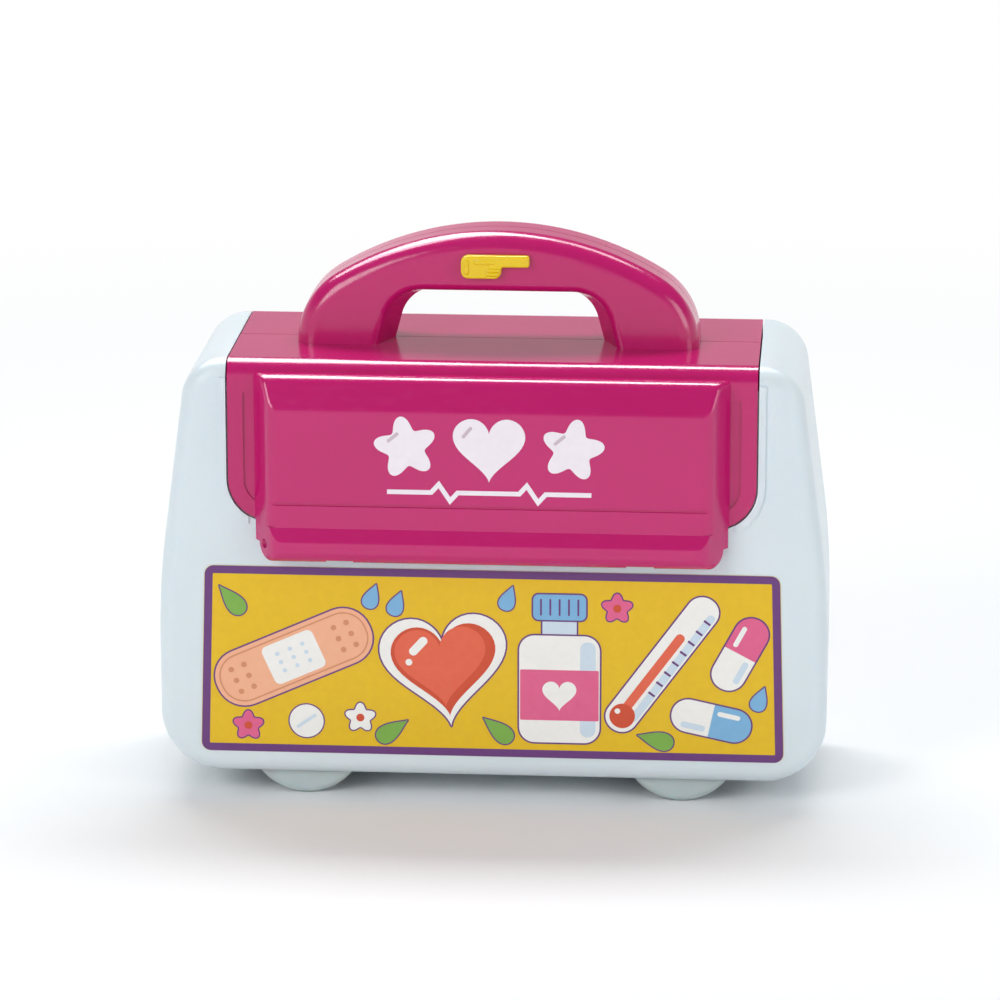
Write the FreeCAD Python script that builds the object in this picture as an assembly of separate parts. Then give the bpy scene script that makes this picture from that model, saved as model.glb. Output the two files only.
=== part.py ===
import FreeCAD, Part

import math
import os

# A toy doctor case on four wheels. Two white half shells meet at the middle of its depth and are
# screwed together. A saddle shaped opening runs over their top, and two pink flaps close it. Each
# flap has a bulging panel, a roof and half of the carrying handle, and swings down about a hinge
# pin in the panel's lower edge. A yellow sliding latch in the front half of the handle locks into
# a keeper on the rear half. Lengths are in millimetres. X is the width, Y runs from the front to
# the back, Z is up, and the origin is on the floor below the middle of the case.

Vector = FreeCAD.Vector

# Every cut runs this far past the face that it opens
overrun = 2.0

# Points nearer to each other than this are one point
same_point = 0.01

# Fits: a pushed fit that stays put, a running fit that turns, and a loose sliding gap
press_gap = 0.02
running_gap = 0.06
slide_gap = 0.3

# Body shells
body_width = 216.0
body_taper = 10.0
body_height = 138.0
body_depth = 76.0
body_wall = 2.2
body_clearance = 8.0
body_bottom_corner = 20.0
body_top_corner = 14.0
body_edge_round = 5.5
body_bend_height = 63.0
body_bend_round = 260.0

# Saddle opening over the body, with a raised lip outside and a ledge inside
saddle_side = 13.0
saddle_sill_height = 85.0
saddle_corner = 14.0
flap_gap = 0.5
lip_width = 2.2
lip_height = 0.6
lip_spare = 2.0
ledge_width = 4.0
ledge_root = 3.0
ledge_thickness = 2.0
ledge_gap = 0.3

# Seam lap: a tongue on the rear shell that slips inside the front shell
lap_length = 3.0
lap_root = 3.0
lap_thickness = 1.3
lap_gap = 0.15

# Shell screws in four long bosses
boss_radius = 4.4
lower_boss_inset = 12.5
lower_boss_height = 21.0
upper_boss_inset = 7.0
upper_boss_height = 121.0
shell_screw_radius = 1.25
shell_screw_length = 26.0
shell_screw_head_radius = 2.7
shell_screw_head_height = 2.0
shell_screw_seat = 12.0
shell_screw_hole_gap = 0.3
shell_screw_slot_width = 0.8
shell_screw_slot_depth = 0.9
shell_pilot_spare = 2.0

# Flaps
flap_wall = 2.0
seam_gap = 0.4
wing_border = 5.0
wing_sink = 0.6

# Bulging panel of a flap
panel_side = 9.0
panel_narrowing = 7.0
panel_top_drop = 3.6
panel_shoulder_height = 10.0
panel_shoulder_depth = 4.5
panel_edge_round = 4.0
panel_shoulder_round = 5.0
panel_corner_round = 5.0
panel_end_round = 1.8
panel_line_height = 13.6
panel_line_width = 0.9
panel_line_depth = 0.5
bead_step = 2.0
bead_rise = 6.3
bead_slope = 4.3
bead_slope_round = 2.0
nose_radius = 5.5
nose_gap = 0.5

# Hinge of a flap
pivot_drop = 5.5
lug_inset = 21.0
lug_width = 8.0
lug_gap = 0.4
lug_arm_thickness = 3.0
knuckle_radius = 3.4
hinge_pin_radius = 1.5
hinge_pin_inset = 7.0
flap_swing_degrees = 95.0
flap_swing_spare_degrees = 2.0

# Carrying handle, split between the flaps
handle_width = 130.0
handle_height = 37.0
handle_depth = 26.0
handle_side_round = 26.0
handle_edge_round = 6.0
grip_height = 18.5
finger_width = 80.0
finger_lean = 4.5
finger_corner = 12.0
finger_taper = 7.0
finger_lift = 2.0
finger_round = 3.0

# Latch in the handle's front half
latch_drop = 8.5
latch_travel = 7.0
knob_start = -11.5
knob_block_length = 13.0
knob_block_height = 7.6
knob_block_corner = 2.4
knob_finger_length = 9.0
knob_finger_height = 3.8
knob_finger_corner = 0.9
knob_thickness = 2.4
knob_edge_round = 0.7
knob_gap = 0.15
stem_start = -6.0
stem_length = 5.0
stem_height = 2.4
tenon_radius = 0.9
tenon_length = 1.6
bolt_start = -12.0
bolt_length = 21.0
bolt_height = 3.6
bolt_thickness = 2.4
rail_start = -16.0
rail_length = 24.0
rail_height = 2.6
rail_root = 0.5
retainer_thickness = 1.2
retainer_setback = 0.8

# Small screws of the latch
small_screw_radius = 0.75
small_screw_length = 5.0
small_screw_head_radius = 1.5
small_screw_head_height = 0.8
small_screw_slot_width = 0.4
small_screw_slot_depth = 0.4
retainer_screw_inset = 3.0

# Keeper on the handle's rear half
keeper_start = 10.5
keeper_thickness = 3.0
keeper_hook_gap = 0.5
keeper_rim = 1.3
keeper_tip = 0.8
keeper_foot_length = 17.0
keeper_foot_height = 6.0
keeper_foot_thickness = 1.4
keeper_post_length = 5.0
keeper_post_radius = 2.2
keeper_post_spacing = 12.0

# Wheels and axles under the body
wheel_radius = 19.0
wheel_width = 10.0
wheel_inset = 47.0
wheel_rim_width = 4.0
wheel_rim_round = 2.6
wheel_web_thickness = 3.0
wheel_hub_radius = 5.5
wheel_hub_drop = 1.2
wheel_spacer_length = 2.0
wheel_end_gap = 1.2
wheel_room = 2.0
tunnel_wall = 2.0
tunnel_end_wall = 3.6
axle_radius = 1.5
axle_cap_radius = 4.2
axle_cap_thickness = 1.0
axle_cap_round = 0.5
bearing_thickness = 4.0
bearing_gap = 0.4
bearing_slot_width = 2.5

# Label stuck on the front
label_side = 13.5
label_taper = 2.0
label_height = 62.5
label_corner = 3.0
label_thickness = 0.3
label_lift = 7.8

# Places worked out from the sizes above
body_top_width = body_width - 2 * body_taper
saddle_width = body_top_width - 2 * saddle_side
lower_boss_spacing = body_width - 2 * lower_boss_inset
upper_boss_spacing = body_top_width - 2 * upper_boss_inset
panel_width = saddle_width - 2 * panel_side
panel_front_width = panel_width - 2 * panel_narrowing
lug_spacing = panel_front_width - 2 * lug_inset
hinge_pin_length = panel_width - 2 * hinge_pin_inset
wheel_spacing = body_width - 2 * wheel_inset
label_bottom_width = body_width - 2 * label_side
label_top_width = label_bottom_width - 2 * label_taper
half_depth = body_depth / 2
body_top = body_clearance + body_height
sill = body_clearance + saddle_sill_height
pivot_height = sill - pivot_drop
pivot_reach = half_depth + nose_gap + nose_radius
bead_reach = nose_gap + 2 * nose_radius
panel_reach = bead_reach - bead_step
panel_top = body_top - panel_top_drop
handle_half = handle_depth / 2
handle_side_middle = handle_width / 2 - handle_side_round
handle_crown_round = (
    (handle_side_middle**2 + handle_height**2 - handle_side_round**2)
    / (2 * (handle_height - handle_side_round))
)
finger_height = handle_height - grip_height
latch_height = body_top + handle_height - latch_drop
retainer_back = seam_gap / 2 + retainer_setback + small_screw_head_height
bolt_back = retainer_back + retainer_thickness + slide_gap
bolt_front = bolt_back + bolt_thickness
keeper_reach = bolt_front + keeper_hook_gap + keeper_rim
keeper_foot_face = handle_half - flap_wall - keeper_post_length
wheel_face = half_depth - tunnel_end_wall - wheel_end_gap
hub_face = wheel_face - wheel_hub_drop
bearing_face = wheel_face - wheel_width - wheel_spacer_length - bearing_gap
tunnel_radius = wheel_radius + wheel_room


def rounded_wire(corners, place):
    """A closed wire through corners of (u, v, radius), rounded by tangent arcs and set in space by place."""
    starts = []
    middles = []
    ends = []
    for index, (u, v, radius) in enumerate(corners):
        corner = Vector(u, v, 0)
        before = Vector(corners[index - 1][0], corners[index - 1][1], 0)
        after_corner = corners[(index + 1) % len(corners)]
        after = Vector(after_corner[0], after_corner[1], 0)
        to_before = (before - corner).normalize()
        to_after = (after - corner).normalize()
        half_angle = to_before.getAngle(to_after) / 2
        reach = radius / math.tan(half_angle)
        inward = (to_before + to_after).normalize()
        starts.append(corner + to_before * reach)
        ends.append(corner + to_after * reach)
        middles.append(corner + inward * (radius / math.sin(half_angle) - radius))
    edges = []
    for index, (u, v, radius) in enumerate(corners):
        line_start = place(ends[index - 1])
        line_end = place(starts[index])
        if not line_start.isEqual(line_end, same_point):
            edges.append(Part.makeLine(line_start, line_end))
        if radius > 0:
            arc = Part.Arc(line_end, place(middles[index]), place(ends[index]))
            edges.append(arc.toShape())
    return Part.Wire(Part.__sortEdges__(edges))


def front_face(corners, y):
    """A face of an outline given as (x, z, radius), upright at one depth."""
    return Part.Face(rounded_wire(corners, lambda p: Vector(p.x, y, p.y)))


def prism_y(corners, y_from, y_to):
    """A front outline of (x, z, radius) carried along the depth."""
    return front_face(corners, y_from).extrude(Vector(0, y_to - y_from, 0))


def prism_x(corners, x_from, x_to):
    """A side outline of (y, z, radius) carried along the width."""
    face = Part.Face(rounded_wire(corners, lambda p: Vector(x_from, p.x, p.y)))
    return face.extrude(Vector(x_to - x_from, 0, 0))


def prism_z(corners, z_from, z_to):
    """A plan outline of (x, y, radius) carried upwards."""
    face = Part.Face(rounded_wire(corners, lambda p: Vector(p.x, p.y, z_from)))
    return face.extrude(Vector(0, 0, z_to - z_from))


def block(x_from, x_to, y_from, y_to, z_from, z_to):
    """A box between two corners."""
    return Part.makeBox(x_to - x_from, y_to - y_from, z_to - z_from, Vector(x_from, y_from, z_from))


def rod_x(radius, x_from, x_to, y, z):
    """A round rod along the width."""
    return Part.makeCylinder(radius, x_to - x_from, Vector(x_from, y, z), Vector(1, 0, 0))


def rod_y(radius, y_from, y_to, x, z):
    """A round rod along the depth."""
    return Part.makeCylinder(radius, y_to - y_from, Vector(x, y_from, z), Vector(0, 1, 0))


def fuse_all(shapes):
    """One solid of several that overlap."""
    return shapes[0].multiFuse(shapes[1:]).removeSplitter()


def cut_all(shape, tools):
    """A shape with every tool taken away."""
    return shape.cut(tools)


def turned_back(shape):
    """The shape's mirror image at the back of the case."""
    return shape.mirror(Vector(0, 0, 0), Vector(0, 1, 0))


def edges_at_depth(shape, y):
    """The edges that lie wholly at one depth."""
    def at_depth(edge):
        return all(abs(vertex.Point.y - y) < press_gap for vertex in edge.Vertexes)
    return [edge for edge in shape.Edges if at_depth(edge)]


# Body shells

def body_block(inset):
    """The body's rounded outside, moved inwards by inset on every face."""
    half_bottom = body_width / 2
    half_top = body_top_width / 2
    bend = body_clearance + body_bend_height
    corners = [
        (-half_bottom, body_clearance, body_bottom_corner),
        (half_bottom, body_clearance, body_bottom_corner),
        (half_bottom, bend, body_bend_round),
        (half_top, body_top, body_top_corner),
        (-half_top, body_top, body_top_corner),
        (-half_bottom, bend, body_bend_round),
    ]
    reach = half_depth - inset
    face = front_face(corners, -reach)
    if inset > 0:
        face = face.makeOffset2D(-inset)
    solid = face.extrude(Vector(0, 2 * reach, 0))
    edges = edges_at_depth(solid, -reach) + edges_at_depth(solid, reach)
    return solid.makeFillet(body_edge_round - inset, edges)


def saddle_prism(grow, y_from, y_to, top):
    """The saddle opening's front outline, made larger by grow, between two depths and up to top."""
    half = saddle_width / 2 + grow
    corners = [
        (-half, sill - grow, saddle_corner + grow),
        (half, sill - grow, saddle_corner + grow),
        (half, top, 0),
        (-half, top, 0),
    ]
    return prism_y(corners, y_from, y_to)


def saddle_lip():
    """A raised rim on the front wall round the opening, left out behind the panel."""
    top = body_top - body_edge_round
    outside = saddle_prism(lip_width, -half_depth - lip_height, -half_depth + body_wall / 2, top)
    opening = saddle_prism(0, -half_depth - overrun, 0, body_top + overrun)
    half_panel = panel_width / 2 + lip_spare
    behind_panel = block(-half_panel, half_panel, -half_depth - overrun, 0, 0, sill + saddle_corner)
    return outside.cut(opening).cut(behind_panel)


def saddle_ledge():
    """An inner rim that the front flap's edge closes against."""
    wall_face = -half_depth + body_wall
    front = -half_depth + flap_wall + ledge_gap
    back = front + ledge_thickness
    top = body_top - flap_wall - slide_gap - body_edge_round
    rim = saddle_prism(ledge_root, front, back, top)
    root = saddle_prism(ledge_root, wall_face - body_wall / 2, back, top)
    root = root.cut(saddle_prism(0, -half_depth, half_depth, body_top + overrun))
    hole = saddle_prism(-ledge_width, -half_depth, half_depth, body_top + overrun)
    return fuse_all([rim, root]).cut(hole)


def hinge_lug(x):
    """A knuckle on an arm that carries the front flap's hinge pin."""
    half = lug_width / 2
    arm_half = lug_arm_thickness / 2
    knuckle = rod_x(knuckle_radius, x - half, x + half, -pivot_reach, pivot_height)
    arm = block(
        x - half, x + half,
        -pivot_reach, -half_depth + body_wall / 2,
        pivot_height - arm_half, pivot_height + arm_half,
    )
    bore = rod_x(
        hinge_pin_radius + running_gap, x - half - overrun, x + half + overrun, -pivot_reach, pivot_height,
    )
    return knuckle.fuse(arm).cut(bore)


def wheel_tunnel(x, grow, end):
    """The arched space round an axle's wheels, made larger by grow, as far as end from the middle."""
    radius = tunnel_radius + grow
    arch = rod_y(radius, -end, end, x, wheel_radius)
    legs = block(x - radius, x + radius, -end, end, -overrun, wheel_radius)
    return arch.fuse(legs)


def bearing(x, side):
    """A rib across a wheel tunnel that an axle snaps into from below."""
    near = side * (bearing_face - bearing_thickness)
    far = side * bearing_face
    low, high = sorted((near, far))
    rib = wheel_tunnel(x, tunnel_wall / 2, half_depth)
    rib = rib.common(block(-body_width, body_width, low, high, body_clearance, body_top))
    bore = rod_y(axle_radius + running_gap, low - overrun, high + overrun, x, wheel_radius)
    half_slot = bearing_slot_width / 2
    slot = block(x - half_slot, x + half_slot, low - overrun, high + overrun, 0, wheel_radius)
    return rib.cut(bore).cut(slot)


def boss_places():
    """The places (x, z) of the shell screws."""
    places = []
    for side in (-1, 1):
        places.append((side * lower_boss_spacing / 2, body_clearance + lower_boss_height))
        places.append((side * upper_boss_spacing / 2, body_clearance + upper_boss_height))
    return places


def whole_body():
    """Both shells in one, before they are parted at the seam."""
    outside = body_block(0)
    shell = outside.cut(body_block(body_wall))
    opening = saddle_prism(0, -half_depth - overrun, half_depth + overrun, body_top + overrun)
    inner_end = half_depth - body_wall / 2
    added = []
    tunnels = []
    ribs = []
    for side in (-1, 1):
        x = side * wheel_spacing / 2
        added.append(wheel_tunnel(x, tunnel_wall, inner_end).common(outside))
        tunnels.append(wheel_tunnel(x, 0, half_depth - tunnel_end_wall))
        ribs.append(bearing(x, -1))
        ribs.append(bearing(x, 1))
    for x, z in boss_places():
        added.append(rod_y(boss_radius, -inner_end, inner_end, x, z))
    shell = fuse_all([shell] + added)
    shell = cut_all(shell, tunnels + [opening])
    lugs = [hinge_lug(side * lug_spacing / 2) for side in (-1, 1)]
    trim = [saddle_lip(), saddle_ledge()] + lugs
    return fuse_all([shell] + ribs + trim + [turned_back(piece) for piece in trim])


def seam_lap():
    """A thin tongue round the inside of the seam, rooted in the rear shell."""
    inside = body_block(body_wall + lap_gap + lap_thickness)
    tongue = body_block(body_wall + lap_gap).cut(inside)
    tongue = tongue.common(block(-body_width, body_width, -lap_length, lap_root, 0, body_top))
    root = body_block(body_wall / 2).cut(inside)
    root = root.common(block(-body_width, body_width, 0, lap_root, 0, body_top))
    clear_of = [saddle_prism(lap_gap, -body_depth, body_depth, body_top + overrun)]
    for side in (-1, 1):
        clear_of.append(wheel_tunnel(side * wheel_spacing / 2, tunnel_wall + lap_gap, half_depth))
    for x, z in boss_places():
        clear_of.append(rod_y(boss_radius + lap_gap, -half_depth, half_depth, x, z))
    return cut_all(fuse_all([tongue, root]), clear_of)


def half_space(side):
    """A block that holds everything on one side of the seam."""
    reach = body_depth * 2
    near = 0 if side > 0 else -reach
    return block(-body_width, body_width, near, near + reach, 0, body_top * 2)


def front_shell(body):
    """The white front half of the body, with pilot holes for the shell screws."""
    shell = body.common(half_space(-1))
    depth = shell_screw_length - shell_screw_seat + shell_pilot_spare
    holes = [
        rod_y(shell_screw_radius + running_gap, -depth, overrun, x, z)
        for x, z in boss_places()
    ]
    return cut_all(shell, holes)


def rear_shell(body):
    """The white rear half of the body, with the seam's tongue and a deep screw seat in each boss."""
    shell = fuse_all([body.common(half_space(1)), seam_lap()])
    holes = []
    for x, z in boss_places():
        holes.append(rod_y(shell_screw_radius + shell_screw_hole_gap, -overrun, half_depth, x, z))
        holes.append(
            rod_y(
                shell_screw_head_radius + shell_screw_hole_gap,
                shell_screw_seat, half_depth + overrun, x, z,
            )
        )
    return cut_all(shell, holes)


def slotted_screw(radius, length, head_radius, head_height, slot_width, slot_depth, x, seat, z):
    """A screw along the depth with its head behind seat and a slot across the head."""
    shank = rod_y(radius, seat - length, seat, x, z)
    head = rod_y(head_radius, seat, seat + head_height, x, z)
    top = seat + head_height
    half = slot_width / 2
    slot = block(x - head_radius, x + head_radius, top - slot_depth, top + overrun, z - half, z + half)
    return shank.fuse(head).cut(slot)


def shell_screws():
    """The four screws that hold the shells together."""
    screws = [
        slotted_screw(
            shell_screw_radius, shell_screw_length, shell_screw_head_radius, shell_screw_head_height,
            shell_screw_slot_width, shell_screw_slot_depth, x, shell_screw_seat, z,
        )
        for x, z in boss_places()
    ]
    return Part.makeCompound(screws)


def front_label():
    """The sticker on the front below the panel."""
    low = body_clearance + label_lift
    half_bottom = label_bottom_width / 2
    half_top = label_top_width / 2
    corners = [
        (-half_bottom, low, label_corner),
        (half_bottom, low, label_corner),
        (half_top, low + label_height, label_corner),
        (-half_top, low + label_height, label_corner),
    ]
    return prism_y(corners, -half_depth - label_thickness, -half_depth)


# Flaps

def flap_skin():
    """The part of the body's own outside that the front flap fills, with a sunk field on each wing."""
    skin = body_block(0).cut(body_block(flap_wall))
    outline = saddle_prism(-flap_gap, -half_depth - overrun, -seam_gap / 2, body_top + overrun)
    field_top = body_top - body_edge_round - wing_border
    field = saddle_prism(
        -flap_gap - wing_border, -half_depth - overrun, -half_depth + wing_sink, field_top,
    )
    return skin.common(outline).cut(field)


def panel_plan(inset, back, reach):
    """The panel's plan outline, narrower towards the front at reach, moved inwards by inset."""
    slope = panel_narrowing / bead_reach
    shift = inset * math.hypot(1, slope)
    half_base = panel_width / 2 - shift
    half_front = half_base - slope * (reach - inset)
    front = -half_depth - reach + inset
    corner = panel_corner_round - inset
    return [
        (-half_base, back, 0),
        (-half_base, -half_depth, 0),
        (-half_front, front, corner),
        (half_front, front, corner),
        (half_base, -half_depth, 0),
        (half_base, back, 0),
    ]


def panel_part(side, reach, round_from, round_to):
    """A solid part of the panel from its side outline, with its ends rounded between two heights."""
    back = -half_depth + flap_wall
    solid = prism_x(side, -panel_width / 2, panel_width / 2)
    solid = solid.common(prism_z(panel_plan(0, back, reach), 0, body_top))

    def rounds_an_end(edge):
        box = edge.BoundBox
        at_end = box.XMin * box.XMax > 0 and box.XLength > press_gap
        in_front = box.YMin < -half_depth - nose_gap - press_gap
        return at_end and in_front and round_from < box.ZMax < round_to

    return solid.makeFillet(panel_end_round, [edge for edge in solid.Edges if rounds_an_end(edge)])


def panel_outside():
    """The bulging panel, solid, with its sloping shoulder and a round bead along its lower edge."""
    back = -half_depth + flap_wall
    front = -half_depth - panel_reach
    bead_front = -half_depth - bead_reach
    nose_back = -half_depth - nose_gap
    nose_bottom = pivot_height - nose_radius
    bead_top = pivot_height + bead_rise
    plate_bottom = sill + flap_gap
    face = [
        (back, panel_top, 0),
        (front + panel_shoulder_depth, panel_top, panel_edge_round),
        (front, panel_top - panel_shoulder_height, panel_shoulder_round),
        (front, pivot_height, 0),
        (nose_back, pivot_height, 0),
        (nose_back, plate_bottom, 0),
        (back, plate_bottom, 0),
    ]
    bead = [
        (nose_back, bead_top, 0),
        (front, bead_top, 0),
        (bead_front, bead_top - bead_slope, bead_slope_round),
        (bead_front, nose_bottom, nose_radius),
        (nose_back, nose_bottom, nose_radius),
    ]
    upper = panel_part(face, panel_reach, plate_bottom, body_top)
    lower = panel_part(bead, bead_reach, 0, pivot_height + press_gap)
    solid = fuse_all([upper, lower])
    behind = block(-panel_width, panel_width, nose_back, 0, 0, body_top + overrun)
    behind = behind.cut(saddle_prism(-flap_gap, -body_depth, 0, body_top + 2 * overrun))
    return solid.cut(behind)


def panel_hollow():
    """The room inside the panel, open towards the case."""
    back = -half_depth + flap_wall + overrun
    front = -half_depth - panel_reach + flap_wall
    top = panel_top - flap_wall
    nose_top = pivot_height + nose_radius
    side = [
        (back, top, 0),
        (front + panel_shoulder_depth, top, 0),
        (front, panel_top - panel_shoulder_height, 0),
        (front, nose_top, 0),
        (back, nose_top, 0),
    ]
    carried = prism_x(side, -panel_width / 2, panel_width / 2)
    plan = prism_z(panel_plan(flap_wall, back, panel_reach), nose_top - overrun, panel_top + overrun)
    return carried.common(plan)


def panel_line():
    """A thin groove across the panel's face above the bead."""
    front = -half_depth - panel_reach
    low = pivot_height + panel_line_height
    return block(
        -panel_width, panel_width, front - overrun, front + panel_line_depth, low, low + panel_line_width,
    )


def lug_pocket(x):
    """Room for a lug in the panel's round edge through the whole swing."""
    half = lug_width / 2 + lug_gap
    room = knuckle_radius + lug_gap
    arm_room = lug_arm_thickness / 2 + lug_gap
    arm_angle = math.asin(arm_room / room)
    low_angle = -math.radians(flap_swing_degrees + flap_swing_spare_degrees) - arm_angle
    reach = nose_radius + overrun

    def at(angle):
        return Vector(
            x - half, -pivot_reach + reach * math.cos(angle), pivot_height + reach * math.sin(angle),
        )

    centre = Vector(x - half, -pivot_reach, pivot_height)
    start = at(low_angle)
    end = at(arm_angle)
    arc = Part.Arc(start, at((low_angle + arm_angle) / 2), end).toShape()
    sector = Part.Wire([Part.makeLine(centre, start), arc, Part.makeLine(end, centre)])
    swept = Part.Face(sector).extrude(Vector(2 * half, 0, 0))
    return rod_x(room, x - half, x + half, -pivot_reach, pivot_height).fuse(swept)


def handle_arch(inset, back):
    """Half of the handle as a solid arch of three arcs on the roof, moved inwards by inset."""
    base = body_top - flap_wall / 2 if inset == 0 else body_top
    front = -handle_half + inset
    side_radius = handle_side_round - inset
    crown_rise = handle_crown_round - handle_height
    meeting_angle = math.atan2(handle_side_middle, crown_rise)

    def on_side(side, angle):
        reach = handle_side_middle + side_radius * math.sin(angle)
        return Vector(side * reach, front, body_top + side_radius * math.cos(angle))

    def side_arc(side):
        foot_angle = math.pi / 2
        middle_angle = (foot_angle + meeting_angle) / 2
        arc = Part.Arc(on_side(side, foot_angle), on_side(side, middle_angle), on_side(side, meeting_angle))
        return arc.toShape()

    crown = Part.Arc(
        on_side(-1, meeting_angle),
        Vector(0, front, body_top + handle_height - inset),
        on_side(1, meeting_angle),
    )
    half = handle_width / 2 - inset
    left = Vector(-half, front, body_top)
    right = Vector(half, front, body_top)
    corners = [right, Vector(half, front, base), Vector(-half, front, base), left]
    lines = [
        Part.makeLine(a, b) for a, b in zip(corners, corners[1:]) if not a.isEqual(b, press_gap)
    ]
    edges = [side_arc(-1), crown.toShape(), side_arc(1)] + lines
    outline = Part.Wire(Part.__sortEdges__(edges))
    arch = Part.Face(outline).extrude(Vector(0, back - front, 0))
    rims = [
        edge for edge in edges_at_depth(arch, front)
        if isinstance(edge.Curve, Part.Circle)
    ]
    return arch.makeFillet(handle_edge_round - inset, rims)


def finger_hole(grow):
    """The opening for the fingers through half of the handle, narrower towards the seam."""
    def outline(y, narrower, lower):
        half = finger_width / 2 - narrower + grow
        top = body_top + finger_height - lower + grow
        corners = [
            (-half, body_top, 0),
            (half, body_top, 0),
            (half - finger_lean, top, finger_corner + grow),
            (-half + finger_lean, top, finger_corner + grow),
        ]
        return rounded_wire(corners, lambda p: Vector(p.x, y, p.y))

    front = outline(-handle_half - overrun, 0, 0)
    back = outline(overrun, finger_taper, finger_lift)
    return Part.makeLoft([front, back], True, True)


def half_handle():
    """Half of the handle, solid, with the finger opening's front edge rounded."""
    arch = handle_arch(0, -seam_gap / 2).cut(finger_hole(0))

    def rounds_fingers(edge):
        box = edge.BoundBox
        inside = max(abs(box.XMin), abs(box.XMax)) < finger_width / 2
        return inside and box.ZMax > body_top + press_gap

    rims = [edge for edge in edges_at_depth(arch, -handle_half) if rounds_fingers(edge)]
    return arch.makeFillet(finger_round, rims)


def flap():
    """The front flap without the latch."""
    solid = fuse_all([flap_skin(), panel_outside(), half_handle()])
    handle_room = handle_arch(flap_wall, overrun).cut(finger_hole(flap_wall))
    half_pin = hinge_pin_length / 2
    pin_bore = rod_x(
        hinge_pin_radius + press_gap, -panel_width, half_pin, -pivot_reach, pivot_height,
    )
    pockets = [lug_pocket(side * lug_spacing / 2) for side in (-1, 1)]
    return cut_all(solid, [panel_hollow(), handle_room, pin_bore, panel_line()] + pockets)


def retainer_screw_places():
    """The places (x, z) of the retainer's screws, one in each rail."""
    rail_middle = bolt_height / 2 + slide_gap + rail_height / 2
    x = rail_start + retainer_screw_inset
    return [(x, latch_height - rail_middle), (x, latch_height + rail_middle)]


def latch_rails():
    """Two rails behind the handle's front face that guide the bolt, with a screw hole in each."""
    rails = []
    for side in (-1, 1):
        near = latch_height + side * (bolt_height / 2 + slide_gap)
        low, high = sorted((near, near + side * rail_height))
        rails.append(
            block(
                rail_start, rail_start + rail_length,
                -handle_half + flap_wall - rail_root, -retainer_back - retainer_thickness,
                low, high,
            )
        )
    depth = retainer_back + small_screw_length + slide_gap
    holes = [
        rod_y(small_screw_radius + running_gap, -depth, 0, x, z) for x, z in retainer_screw_places()
    ]
    return [cut_all(rail, holes) for rail in rails]


def latch_slot():
    """The slot in the handle's front face that the knob's stem slides in."""
    half = stem_height / 2 + slide_gap
    return block(
        stem_start - slide_gap, stem_start + stem_length + latch_travel + slide_gap,
        -handle_half - overrun, -handle_half + flap_wall + overrun,
        latch_height - half, latch_height + half,
    )


def front_flap():
    """The pink front flap, which carries the latch."""
    return fuse_all([flap().cut(latch_slot())] + latch_rails())


def keeper_post_places():
    """The places (x, z) of the keeper's posts and screws."""
    middle = keeper_start + keeper_thickness / 2
    half = keeper_post_spacing / 2
    return [(middle - half, latch_height), (middle + half, latch_height)]


def rear_flap():
    """The pink rear flap, with two posts for the keeper."""
    depth = keeper_foot_face - keeper_foot_thickness + small_screw_length + slide_gap
    posts = []
    for x, z in keeper_post_places():
        post = rod_y(keeper_post_radius, keeper_foot_face, handle_half - flap_wall / 2, x, z)
        posts.append(post)
    holes = [
        rod_y(small_screw_radius + running_gap, 0, depth, x, z) for x, z in keeper_post_places()
    ]
    return cut_all(fuse_all([turned_back(flap())] + posts), holes)


def hinge_pin():
    """The steel pin of the front flap's hinge."""
    half = hinge_pin_length / 2
    return rod_x(hinge_pin_radius, -half, half, -pivot_reach, pivot_height)


# Latch

def latch_knob():
    """The yellow knob, shaped like a block with a pointing bar, with its stem behind."""
    top = latch_height + knob_finger_height / 2
    bottom = top - knob_block_height
    block_end = knob_start + knob_block_length
    finger_end = block_end + knob_finger_length
    finger_bottom = top - knob_finger_height
    corners = [
        (knob_start, bottom, knob_block_corner),
        (block_end, bottom, knob_block_corner),
        (block_end, finger_bottom, knob_finger_corner),
        (finger_end, finger_bottom, knob_finger_corner),
        (finger_end, top, knob_finger_corner),
        (knob_start, top, knob_block_corner),
    ]
    back = -handle_half - knob_gap
    front = back - knob_thickness
    cap = prism_y(corners, front, back)
    cap = cap.makeFillet(knob_edge_round, edges_at_depth(cap, front))
    half = stem_height / 2
    stem = block(
        stem_start, stem_start + stem_length, back - knob_thickness / 2, -bolt_front,
        latch_height - half, latch_height + half,
    )
    tenon_middle = stem_start + stem_length / 2
    tenon = rod_y(
        tenon_radius, -bolt_front - knob_thickness / 2, -bolt_front + tenon_length, tenon_middle, latch_height,
    )
    return fuse_all([cap, stem, tenon])


def latch_bolt():
    """The bolt behind the handle's front face, fixed on the knob's stem."""
    half = bolt_height / 2
    corners = [
        (bolt_start, latch_height - half, 0),
        (bolt_start + bolt_length, latch_height - half, half / 2),
        (bolt_start + bolt_length, latch_height + half, half / 2),
        (bolt_start, latch_height + half, 0),
    ]
    bar = prism_y(corners, -bolt_front, -bolt_back)
    socket = rod_y(
        tenon_radius + press_gap, -bolt_front - overrun, -bolt_front + tenon_length + press_gap,
        stem_start + stem_length / 2, latch_height,
    )
    return bar.cut(socket)


def latch_retainer():
    """The cover plate that keeps the bolt between its rails."""
    reach = bolt_height / 2 + slide_gap + rail_height
    plate = block(
        rail_start, rail_start + rail_length,
        -retainer_back - retainer_thickness, -retainer_back,
        latch_height - reach, latch_height + reach,
    )
    holes = [
        rod_y(small_screw_radius + running_gap, -half_depth, 0, x, z) for x, z in retainer_screw_places()
    ]
    return cut_all(plate, holes)


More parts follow.
